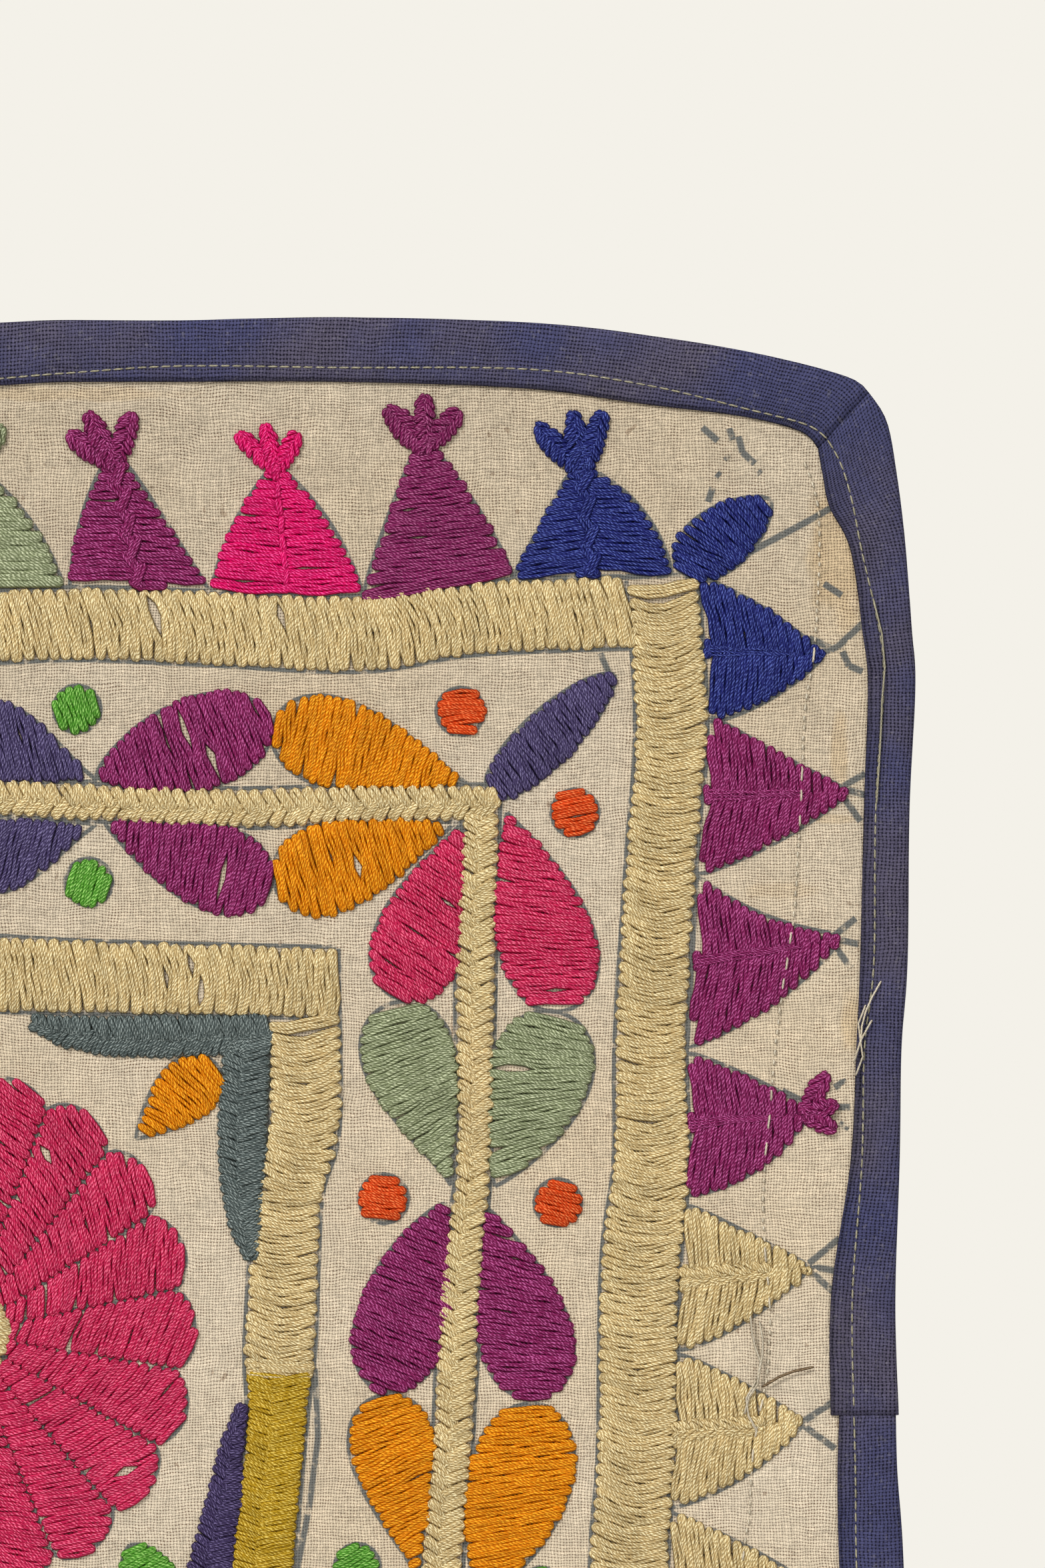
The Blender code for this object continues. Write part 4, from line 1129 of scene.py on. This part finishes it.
def kept_clear(outline, sideways=1.0):
    """An outline moved off the frames and the stem beside it."""
    kept = np.array(outline, dtype=float)
    for course in COURSE_LINES:
        line = course * (sideways, 1.0, 1.0)
        off = kept[:, None, :] - line[None, :, :2]
        far = np.linalg.norm(off, axis=2)
        nearest = far.argmin(axis=1)
        here = np.arange(len(kept))
        short = np.maximum(line[nearest, 2] + CLEAR - far[here, nearest], 0.0)
        kept += off[here, nearest] / np.maximum(far[here, nearest, None], 1e-6) * short[:, None]
    return kept


def both_ways(outline, lean, fan):
    """A motif and its image in the left half."""
    across = np.asarray(outline) * (-1.0, 1.0)
    return [(kept_clear(outline), lean, fan), (kept_clear(across, -1.0), 180.0 - lean, -fan)]


def four_ways(outline, lean, fan):
    """A motif of the vine's upper run, also over its lower run and in both halves."""
    over = np.asarray(outline) * (LOWER_VINE, -1.0) + (0.0, 2 * MIDDLE_Z)
    return both_ways(outline, lean, fan) + both_ways(over, 180.0 - lean, -fan)


def work(colour, motifs, tooth=0.7):
    """Fills motifs with satin stitch and notes their outlines."""
    for outline, lean, fan in motifs:
        sewn[colour] += satin(outline, lean, fan=fan, tooth=tooth)
        drawn.append(outline)


sewn = {colour: [] for colour in THREADS}
drawn = []
for leaves, ways in ((TOP_LEAVES, four_ways), (RIGHT_LEAVES + CORNER_LEAVES, both_ways)):
    for leaf in leaves:
        work(leaf.colour, ways(leaf_outline(leaf), leaf.lean, leaf.fan))
for dots, ways in ((TOP_DOTS, four_ways), (RIGHT_DOTS, both_ways)):
    for dot in dots:
        work(dot.colour, ways(circle(dot.x, dot.z, dot.radius), dot.lean, 0.0), tooth=0.3)
print("leaves and dots:", sum(len(rows) for rows in sewn.values()), "strands")

# %% [markdown]
# Triangles stand on the outer frame. Each has two slanting sides that bulge a little and a narrow crown.
# Bundles run from both sides to the middle line and climb towards the crown. A plait, a chain or a few
# long strands cover the middle line. Some triangles have a tuft of fat lobes.

# %% Triangles
Lobe = namedtuple("Lobe", "along out half_width")
# A peak: where its base starts and ends and its tip lies along the frame, how far out its tip is, half
# the width of its crown, how far its two sides bulge, how far its threads climb, and what covers its
# middle line
Peak = namedtuple(
    "Peak", "colour base_from base_to along out crown bulge_from bulge_to climb ridge lobes", defaults=((),)
)
TOP_PEAKS = [
    Peak("sage", -20.8, 20.8, 1.0, -30.2, 2.2, 2.0, 2.0, 0.0, "none",
         (Lobe(-6.3, -21.5, 2.4), Lobe(8.3, -21.5, 2.4), Lobe(1.0, -18.8, 2.3))),
    Peak("purple", 22.3, 51.9, 31.9, -29.8, 2.1, 1.5, 0.2, 0.6, "plait",
         (Lobe(21.9, -22.9, 2.4), Lobe(35.2, -18.4, 2.3), Lobe(26.0, -18.6, 2.2))),
    Peak("hot pink", 52.2, 84.0, 65.7, -31.0, 1.4, 2.0, 2.0, -0.8, "chain",
         (Lobe(57.6, -22.9, 1.8), Lobe(70.1, -22.9, 1.8), Lobe(63.2, -21.0, 1.7))),
    Peak("violet", 84.2, 115.4, 96.8, -26.6, 2.2, 0.2, 1.4, 0.0, "none",
         (Lobe(89.1, -17.7, 2.7), Lobe(104.2, -18.1, 2.4), Lobe(96.9, -14.9, 2.2))),
    Peak("blue", 115.4, 148.8, 130.2, -31.6, 2.9, 0.3, 2.6, 2.2, "plait",
         (Lobe(120.3, -21.4, 2.5), Lobe(134.2, -18.3, 2.4), Lobe(127.9, -18.3, 2.4))),
]
RIGHT_PEAKS = [
    Peak("blue", -53.6, -83.5, -69.6, 180.0, 0.8, 1.6, 1.6, 2.4, "threads"),
    Peak("purple", -82.4, -115.5, -98.5, 184.7, 1.0, 0.0, 1.2, 2.6, "threads"),
    Peak("purple", -116.0, -152.0, -129.4, 183.0, 1.0, -2.4, 2.6, 2.6, "threads"),
    Peak("purple", -153.2, -182.9, -165.9, 176.6, 1.6, 0.4, 3.4, 2.6, "threads",
         (Lobe(-157.2, 181.4, 1.9), Lobe(-169.1, 183.4, 1.9), Lobe(-163.6, 183.6, 1.8))),
    Peak("cream", -185.2, -215.4, -198.2, 177.4, 0.7, 0.2, 2.0, 2.2, "broad"),
    Peak("cream", -216.4, -248.3, -230.6, 176.1, 0.7, 0.9, 2.2, 2.2, "broad"),
    Peak("cream", -249.4, -280.0, -264.4, 175.6, 0.7, 1.0, 1.8, 2.2, "broad"),
    Peak("sage", -281.6, -311.0, -296.4, 176.6, 0.8, 1.0, 1.6, 2.2, "threads"),
    Peak("hot pink", -312.6, -342.4, -327.8, 178.2, 0.8, 1.0, 1.6, 2.2, "threads"),
    Peak("blue", -344.0, -371.6, -358.6, 177.4, 0.8, 1.0, 1.6, 2.2, "threads"),
]
LOWER_ROW = 0.955  # width of the lower row of triangles, as a share of the upper row
ABOVE_FRAME = 7.6  # how far from the middle of the frame's top and bottom the triangles stand
BESIDE_FRAME = 7.9
FRAME_PAST = 8.0  # how far past its corners the frame's middle line is followed


def lobe_line(base, tip, half_width):
    """A lobe's middle line, with half widths that swell and end round."""
    t = np.linspace(0.0, 1.0, 16)
    half = half_width * (0.5 + 0.5 * np.sin(np.pi * np.clip(t * 0.95, 0.0, 1.0) ** 1.1)) * np.sqrt(1 - t**6)
    return np.column_stack([base + (tip - base) * t[:, None], np.maximum(half, 0.3)])


def slanting_side(corner, top, foot, bulge):
    """One side of a triangle from its corner to its crown, which bulges outward."""
    t = np.linspace(0.0, 1.0, 17)[:, None]
    away = left_of(top - corner) / math.dist(top, corner)
    away *= np.sign((corner - foot) @ away)
    return corner + (top - corner) * t + away * 4 * bulge * t * (1 - t)


def side_bundles(side, foot, tip, up_way, climb, strands=3):
    """Bundles from a slanting side to the middle line, cut where they would start below the base."""
    height = (tip - foot) @ up_way
    rise = (side - foot) @ up_way
    made = []
    up = -abs(climb)
    while up < height:
        step = 0.64 * strands * coarseness(*foot) * rng.uniform(0.92, 1.08)
        middle = up + step / 2 + rng.normal(0, 0.12)
        start = read_at(side, middle, rise) + up_way * min(middle - rise[0], 0.0)
        end_up = middle + climb * (1 - middle / height)
        end = foot + (tip - foot) * end_up / height
        start_up = (start - foot) @ up_way
        up += step
        if end_up < 0.9:
            continue
        if start_up < 0.8:
            start = start + (end - start) * (0.8 - start_up) / max(end_up - start_up, 0.5)
        if math.dist(start, end) < 0.9:
            continue
        over = (end - start) / math.dist(start, end)
        start = start - over * rng.uniform(0.2, 0.8)
        end = end + over * rng.uniform(0.3, 1.0)
        line = swaying(start, end, 0.2, rng.normal(0.0, 0.18))
        made += bundle(line, strands, step / strands * 1.08, close=1.3)
    return made


def ridge_strands(kind, foot, tip):
    """What covers the middle line of a triangle."""
    height = math.dist(foot, tip)
    ahead = (tip - foot) / height
    aside = left_of(ahead)
    t = np.linspace(0.0, 1.0, 20)[:, None]
    made = []
    if kind == "plait":
        line = np.column_stack([tip + (foot - tip) * (t * 1.02 - 0.02), np.full(20, 1.6)])
        made = fishbone(line, pitch=5.6, lift=0.45, advance=5.2, past=0.7, spacing=0.7)
    if kind == "broad":
        line = np.column_stack([foot + ahead * height * 0.7 * t, np.full(20, 1.6)])
        made = fishbone(line, pitch=2.0, lift=0.4, advance=2.6, past=0.1, spacing=0.62)
    if kind == "chain":
        far = 1.5
        while far < height - 2.0:
            lean = aside * rng.uniform(-0.5, 0.5)
            line = swaying(foot + ahead * far - lean, foot + ahead * (far + 4.2) + lean, 0.1)
            made += bundle(line, strands=2, spacing=0.62, lift=0.45)
            far += 3.7
    if kind == "threads":
        for off in (-0.95, -0.3, 0.35, 1.0):
            reach = height * rng.uniform(0.66, 0.8)
            line = swaying(foot + aside * off, foot + ahead * reach + aside * off * 0.4, 0.28)
            made.append(Strand(line, 0.74 * coarseness(*foot), 0.5))
    return made


def triangle(peak, *places):
    """All the strands of one triangle, which also draws its outline. Its places are the two ends of its
    base, its tip and the ends of its lobes."""
    a, b, tip, *tips = (np.asarray(place, dtype=float) for place in places)
    foot = (a + b) / 2
    ahead = (tip - foot) / math.dist(foot, tip)
    across = (b - a) / math.dist(a, b)
    one = slanting_side(a, tip - across * peak.crown, foot, peak.bulge_from)
    two = slanting_side(b, tip + across * peak.crown, foot, peak.bulge_to)
    outline = np.vstack([one, two[::-1]])
    strands = []
    if peak.ridge == "none":
        strands += satin(outline, math.degrees(math.atan2(across[1], across[0])), strands=4)
    else:
        up_way = left_of(across) * np.sign((tip - foot) @ left_of(across))
        for side in (one, two):
            strands += side_bundles(side, foot, tip, up_way, peak.climb)
        strands += ridge_strands(peak.ridge, foot, tip)
    for turn, (end, lobe) in enumerate(zip(tips, peak.lobes)):
        line = lobe_line(tip - ahead * 0.3, end, lobe.half_width)
        lift = 0.25 + 0.15 * turn
        strands += fishbone(line, pitch=1.7, strands=2, lift=lift, advance=2.6, past=0.3, spacing=0.75)
    sewn[peak.colour].extend(strands)
    drawn.append(outline)


def frame_edge(line, along, column):
    """Where the middle of a frame lies beside a place along it."""
    order = np.argsort(line[:, 1 - column])
    return np.interp(along, line[order, 1 - column], line[order, column])


top_line, side_line, bottom_line = (run_line(part, FRAME_PAST) for part in runs(OUTER_FRAME))
for way in (1, -1):
    mirrored = TOP_PEAKS if way == 1 else TOP_PEAKS[1:]  # the first one stands on the middle line
    for peak in mirrored:
        base = (peak.base_from, peak.base_to)
        ends = [(x * way, frame_edge(top_line, x, 1) + ABOVE_FRAME) for x in base]
        tips = [(spot.along * way, spot.out) for spot in (peak, *peak.lobes)]
        triangle(peak, *ends, *tips)
        low = way * LOWER_ROW
        ends = [(x * low, frame_edge(bottom_line, x, 1) - ABOVE_FRAME) for x in base]
        tips = [(spot.along * low, 2 * MIDDLE_Z - spot.out) for spot in (peak, *peak.lobes)]
        triangle(peak, *ends, *tips)
    for peak in RIGHT_PEAKS:
        base = (peak.base_from, peak.base_to)
        ends = [((frame_edge(side_line, z, 0) + BESIDE_FRAME) * way, z) for z in base]
        triangle(peak, *ends, *((spot.out * way, spot.along) for spot in (peak, *peak.lobes)))
print("with triangles:", sum(len(rows) for rows in sewn.values()), "strands")

# %% [markdown]
# The flower is a fan of nineteen petals. Each is filled by slanting threads from one dividing line to the
# next, and the dividing lines stay open, so that the drawing shows between them. A cream disc fills its
# eye.

# %% Flower
FLOWER_Z = -212.0
FLOWER_HALF_WIDTH = 48.6
FLOWER_HALF_HEIGHT = 54.4
PETALS = 19
PETAL_TURN = 13.2
PETAL_DIP = 0.095  # how much shorter a petal is at its sides, as a share of the flower
PETAL_EDGE = 0.945  # share of a petal's width that is stitched
PETAL_LEAN = 24.0
EYE_RADIUS = 9.6


def on_flower(turn, share):
    """The place at a turn in degrees from straight up, at a share of the flower's size."""
    angle = math.radians(turn)
    x = FLOWER_HALF_WIDTH * share * math.sin(angle)
    return x, FLOWER_Z + FLOWER_HALF_HEIGHT * share * math.cos(angle)


def petal(turn):
    """A petal's outline, whose end is round, and the lean of its threads."""
    half = 180.0 / PETALS
    inner = EYE_RADIUS / FLOWER_HALF_WIDTH
    outline = [on_flower(turn + half * off, inner) for off in (-PETAL_EDGE, 0.0, PETAL_EDGE)]
    for off in np.linspace(PETAL_EDGE, -PETAL_EDGE, 13):
        reach = 1 - PETAL_DIP * (1 - math.sqrt(max(math.cos(off * math.pi / 2), 0.0)))
        outline.append(on_flower(turn + half * off, reach))
    return np.array(outline), 180.0 - turn - PETAL_LEAN, 0.0


work("pink", (petal(PETAL_TURN + 360.0 * k / PETALS) for k in range(PETALS)), tooth=0.2)
sewn["cream"] += satin(circle(0.0, FLOWER_Z, EYE_RADIUS), lean=8.0, lift=0.3)
print("with the flower:", sum(len(rows) for rows in sewn.values()), "strands")

# %% [markdown]
# Brackets fill the corners of the inner frame. Each arm is given by places on its middle and its half
# width there, and it is worked in fishbone like the stem.

# %% Brackets
UPPER_BRACKET = [
    [(14.6, -146.4, 1.6), (22.0, -148.6, 3.2), (36.0, -149.6, 4.2), (64.2, -149.2, 4.0)],
    [(60, -148.6, 4.7), (59, -160, 4.9), (58.6, -172, 4.9), (58.8, -186, 3.7), (60.3, -196.4, 1)],
]
LOWER_BRACKET = [
    [(58.6, -227.2, 1), (56.2, -236.8, 2.5), (55, -246, 3.5), (51.8, -262, 4.5), (50.4, -281, 4.7)],
    [(50.0, -278.6, 4.1), (32.0, -278.6, 4.3), (18.0, -280.0, 2.7), (12.8, -281.8, 1.0)],
]
MIRROR = np.array([-1.0, 1.0, 1.0])
for colour, arms in (("teal", UPPER_BRACKET), ("indigo", LOWER_BRACKET)):
    for rows in arms:
        for line in (smoothed(rows, 1.0), smoothed(rows, 1.0) * MIRROR):
            sewn[colour] += fishbone(line, advance=2.4, past=0.3)
print("with the brackets:", sum(len(rows) for rows in sewn.values()), "strands")

# %% [markdown]
# Frames and stem come last. The outer frame's sides run up through its corners, and the inner frame's top
# runs through its own. Below a change of thread the inner frame goes on in olive, worked in crossing
# stitches. Then every colour is sewn as one piece.

# %% Frames and stem
OLIVE_Z = -220.6
OUTER_SHORT, OUTER_PAST = -6.6, 7.0  # how far a run stops short of its corners, or goes past them
INNER_SHORT, INNER_PAST = -6.8, 6.9
STEM_SHORT, STEM_PAST = -3.0, 3.4
outer_top, outer_side, outer_bottom = runs(OUTER_FRAME)
inner_top, inner_side, inner_bottom = runs(INNER_FRAME)
stem_top, stem_side, stem_bottom = runs(VINE_STEM)
outer = band(run_line(outer_top, OUTER_SHORT), lean=3.2, sag=0.9)
outer += band(run_line(outer_bottom, OUTER_SHORT), lean=2.0, sag=0.8)
outer_down = run_line(outer_side, OUTER_PAST)
for line in (outer_down, outer_down * MIRROR):
    outer += band(line, lean=0.2, sag=2.2)
inner = band(run_line(inner_top, INNER_PAST), lean=2.0, sag=0.9)
inner += band(run_line(inner_bottom, INNER_PAST), lean=1.0, sag=0.8)
inner_down = run_line(inner_side, INNER_SHORT)
cream_part = inner_down[inner_down[:, 1] > OLIVE_Z]
olive_part = inner_down[inner_down[:, 1] <= OLIVE_Z]
for line in (cream_part, cream_part * MIRROR):
    inner += band(line, lean=0.4, sag=1.8)
for line in (olive_part, olive_part * MIRROR):
    sewn["olive"] += fishbone(line, lift=0.12, past=0.3)
stem_down = run_line(stem_side, STEM_SHORT)
stem = []
for line in (run_line(stem_top, STEM_PAST), run_line(stem_bottom, STEM_PAST), stem_down, stem_down * MIRROR):
    stem += fishbone(line, pitch=2.7, strands=4, lift=0.2, advance=2.9, past=0.3, spacing=0.57)
pieces = [
    sew("outer_frame_stitches", outer, THREADS["cream"]),
    sew("inner_frame_stitches", inner, THREADS["cream"]),
    sew("vine_stem_stitches", stem, THREADS["cream"]),
]
for colour, strands in sewn.items():
    if strands:
        pieces.append(sew(colour.replace(" ", "_") + "_stitches", strands, THREADS[colour]))
print("stitches have", sum(made_triangles.values()), "triangles")

# %% [markdown]
# Before stitching, the pattern was drawn on the cloth in grey ink, and the line still shows round every
# motif, along the frames and in loose strokes beside the triangles. Each line is a flat ribbon with a
# slight crown, just proud of the cloth, whose finish is the cotton's own with ink over it, so it fades
# into the cloth at its edges.

# %% Drawn lines
INK_WIDTH = 1.3
BOLD_WIDTH = 1.8
STROKE_WIDTH = 2.0
INK_STEP = 2.0
INK_REACH = 0.3  # how far outside a motif its line was drawn, with as much again for its straying
FRAME_REACH = 0.6
Stroke = namedtuple("Stroke", "from_x from_z to_x to_z")
STROKES = rows_of(Stroke, [
    (184.4, -97.3, 189.4, -94.4), (184.4, -97.5, 189.4, -98.9), (184, -98.2, 188.4, -104.4),
    (182.6, -128.6, 187.4, -124.8), (182.6, -129, 188, -130.2), (182.2, -129.6, 186.4, -135.2),
    (177.6, -197.2, 184, -192), (177.8, -197.8, 184.2, -199), (177.4, -198.4, 183.4, -203.8),
    (176, -230.6, 182.4, -226.4), (176.2, -231, 183, -236), (157, -52.6, 165.8, -47.6),
    (165.8, -47.6, 178.8, -40.7), (178.8, -40.7, 182, -38.8), (177.6, -66, 183, -68.4),
    (179.8, -69.2, 183.6, -67.8), (183.6, -67.8, 189.2, -62.6), (184.6, -68.8, 186, -71.8),
    (186, -71.8, 188.8, -73), (157.4, -34.4, 156.4, -37.4), (158.2, -31.4, 158.9, -32),
    (160, -27.8, 160.7, -28.4), (166.8, -31, 167.4, -31.6), (155.2, -21.8, 158.4, -24.6),
    (160.8, -22, 161.6, -24.4), (162.8, -23.7, 163.6, -27), (163.6, -27, 166.2, -29.4),
    (180.7, -54.6, 184.4, -57), (172, -161, 176.2, -163.2), (183, -160.3, 185.4, -158.7),
    (183.2, -164.4, 186.2, -164.4), (184, -167.9, 186, -168.8),
])
BOLD_LINES = [
    [(73.8, -219.5), (74.5, -233.9), (72.7, -248.2), (70.2, -261.2)],
    [(78.8, -160.6), (78.3, -166.0), (77.3, -172.0), (76.6, -177.8)],
    [(78.8, -134.6), (78.6, -141.6)],
    [(133.8, -69.2), (134.8, -71.6), (136.2, -74.6)],
]


def ribbon(bm, layer, line, width):
    """A ribbon along a path, laid on the cloth's face."""
    length = lengths_along(line)[-1]
    wanted = np.linspace(0.0, length, max(2, round(length / INK_STEP)) + 1)
    line = read_at(line, wanted)
    normal = left_of(unit(np.gradient(line, axis=0)))
    rings = []
    for off, proud in ((-0.5, 0.02), (0.0, 0.1), (0.5, 0.02)):
        places = line + normal * off * width
        y = hang(*places.T) - FACE - proud
        rings.append([bm.verts.new((x * MM, back * MM, z * MM)) for (x, z), back in zip(places, y)])
    for across, (one, two) in enumerate(zip(rings, rings[1:])):
        for k in range(len(line) - 1):
            face = bm.faces.new((one[k], one[k + 1], two[k + 1], two[k]))
            for loop, far, share in zip(face.loops, (k, k + 1, k + 1, k), (0, 0, 1, 1)):
                loop[layer].uv = (wanted[far], (across + share) / 2)


def outward(outline, by):
    """A closed outline moved outward."""
    aside = left_of(unit(np.roll(outline, -1, axis=0) - np.roll(outline, 1, axis=0)))
    x, z = outline.T
    around = np.sign(np.sum(x * np.roll(z, -1) - np.roll(x, -1) * z))
    return outline - aside * around * by


def make_ink():
    bm = bmesh.new()
    layer = bm.loops.layers.uv.new("along")
    for outline in drawn:
        stray = INK_REACH * np.sin(np.linspace(0.0, 2 * math.pi, len(outline)) + rng.uniform(0, 6))
        ring = outward(outline, INK_REACH + stray[:, None])
        ribbon(bm, layer, np.vstack([ring, ring[:1]]), INK_WIDTH)
    for course in COURSES:
        parts = runs(course)
        top, down, bottom = (run_line(part, parts[0][-1][2]) for part in parts)
        for line in (top, bottom, down, down * MIRROR):
            for edge in edges_of(line, FRAME_REACH)[:2]:
                ribbon(bm, layer, edge, INK_WIDTH)
    for line in BOLD_LINES:
        for way in (1.0, -1.0):
            ribbon(bm, layer, np.array(line) * (way, 1.0), BOLD_WIDTH)
    for stroke in STROKES:
        ribbon(bm, layer, np.array([stroke[:2], stroke[2:]], dtype=float), STROKE_WIDTH)
    bmesh.ops.recalc_face_normals(bm, faces=bm.faces)
    return new_piece("drawn_lines", bm, INKED)


ink = make_ink()
print("drawn lines have", len(ink.data.polygons), "cells")

# %% [markdown]
# A machine topstitch holds the binding. It is a row of short stitches on both sides of the cloth, lying in
# the trough that the strip's section already has. Tacking, left in from the making, runs down the right
# side in short stitches, and in longer ones where it lies over a triangle. Some loose ends hang beside it,
# at the frayed edge and along the binding.

# %% Topstitch and tacking
TOPSTITCH = 2.5
ON_TROUGH = TROUGH + 0.22  # how far out the topstitch lies
CLOTH_STITCH = (1.4, 0.7, 0.6, 0.4)  # a tacking stitch's length, the gap after it, its width and its lift
TOP_STITCH = (3.3, 1.6, 0.46, 1.0)  # the same where it lies over a triangle
TACKING = [
    (176.6, -29.0), (179.6, -39.8), (179.3, -60.0), (178.2, -72.0), (176.8, -80.0), (175.9, -98.6),
    (175.2, -112.0), (174.4, -124.0), (171.9, -141.0), (170.2, -155.0), (169.4, -166.0), (168.3, -176.0),
    (168.0, -188.0), (168.8, -199.0), (169.4, -208.0), (168.7, -221.0), (166.0, -235.0), (165.0, -250.0),
    (163.4, -262.0), (163.0, -290.0), (165.0, -330.0), (166.0, -372.0),
]
LOOSE_ENDS = [
    [(165.3, -208.0), (165.9, -214.0), (167.4, -216.9), (166.6, -221.7)],
    [(167.4, -209.2), (168.3, -214.7), (167.7, -217.4), (166.9, -222.6), (164.9, -225.6), (164.3, -229.0)],
    [(166.6, -221.7), (164.4, -224.7), (164.5, -228.4), (166.1, -231.4), (166.7, -233.0)],
]
DARK_END = [(167.6, -223.2), (171.6, -220.8), (175.3, -219.5), (178.7, -218.9)]
EDGE_ENDS = [
    [(192.9, -137.6), (190.6, -141.6), (188.8, -146.4), (188.4, -151.6)],
    [(189.6, -142.6), (187.8, -147.6), (188.9, -153.2), (187.2, -158.0)],
    [(191.0, -145.8), (188.7, -149.6), (186.9, -155.2)],
]
BINDING_END = [(190.9, -57.4), (193.4, -68.7), (192.9, -78.0), (192.5, -88.6), (191.7, -101.0)]


def topstitches():
    made = []
    for rows in STRIPS.values():
        fine = smoothed(rows, 0.5)
        outer, inner_edge = fine[:, :2], fine[:, 2:4]
        width = np.hypot(*(inner_edge - outer).T)
        seam = inner_edge + (outer - inner_edge) * (fine[:, 4] / width)[:, None]
        lengths = lengths_along(seam)
        for far in np.arange(0.2, lengths[-1] - 2.0, TOPSTITCH):
            made.append(Strand(read_at(seam, [far, far + 1.15, far + 2.3], lengths), 0.46, 0.0))
    return made


def over_stitches(place):
    """Whether a place lies inside one of the drawn outlines."""
    near = [outline for outline in drawn if np.abs(outline - place).max(axis=1).min() < 12.0]
    cuts = [cut for outline in near for cut in crossings(outline, place, direction(90.0))]
    return any(low < 0.0 < high for low, high in cuts)


def loose_end(rows, width, lift, off=0.0):
    """A thread end that lies free on the cloth."""
    return Strand(smoothed(rows, 0.5) + off, width, lift)


def tacking():
    made = []
    line = smoothed(TACKING, 0.5)
    lengths = lengths_along(line)
    far = 0.0
    while far < lengths[-1] - 6.0:
        on_top = over_stitches(read_at(line, far + 1.0, lengths))
        reach, gap, width, lift = TOP_STITCH if on_top else CLOTH_STITCH
        reach *= rng.uniform(0.8, 1.2)
        ends = read_at(line, [far, far + reach], lengths)
        made.append(Strand(swaying(*ends, 0.12), width, lift))
        far += reach + gap * rng.uniform(0.7, 1.4)
    for rows in LOOSE_ENDS:
        for lift in (1.2, 1.4):
            made.append(loose_end(rows, 0.38, lift, off=rng.uniform(-0.3, 0.3, 2)))
    return made + [loose_end(rows, width=0.42, lift=1.6) for rows in EDGE_ENDS]


pieces.append(sew("dark_end", [loose_end(DARK_END, width=0.56, lift=0.8)], THREADS["brown"]))
seam_stitches = topstitches()
on_binding = [
    sew("binding_end", [loose_end(BINDING_END, width=0.42, lift=1.5)], THREADS["khaki"]),
    sew("topstitch_front", seam_stitches, THREADS["khaki"], face=ON_TROUGH),
    sew("topstitch_back", seam_stitches, THREADS["khaki"], side_of_cloth=1.0, face=ON_TROUGH),
]
pieces.append(sew("tacking_thread", tacking(), THREADS["tacking"]))
print("seams are sewn")

# %% [markdown]
# The hanging is shown above a plain pale floor that takes no part in it.

# %% Floor
FLOOR_BELOW = 60.0
bm = bmesh.new()
bmesh.ops.create_grid(bm, x_segments=1, y_segments=1, size=0.9)
bmesh.ops.translate(bm, vec=(0.0, 0.0, solid_low.z - FLOOR_BELOW * MM), verts=bm.verts)
floor = add("floor", bpy.data.meshes.new("floor"))
bm.to_mesh(floor.data)
bm.free()
floor_look = Look("pale floor", roughness=0.9)
floor_look.fill(floor_look.shader.inputs, {"Base Color": (0.75, 0.74, 0.71)})
floor.data.materials.append(floor_look.material)
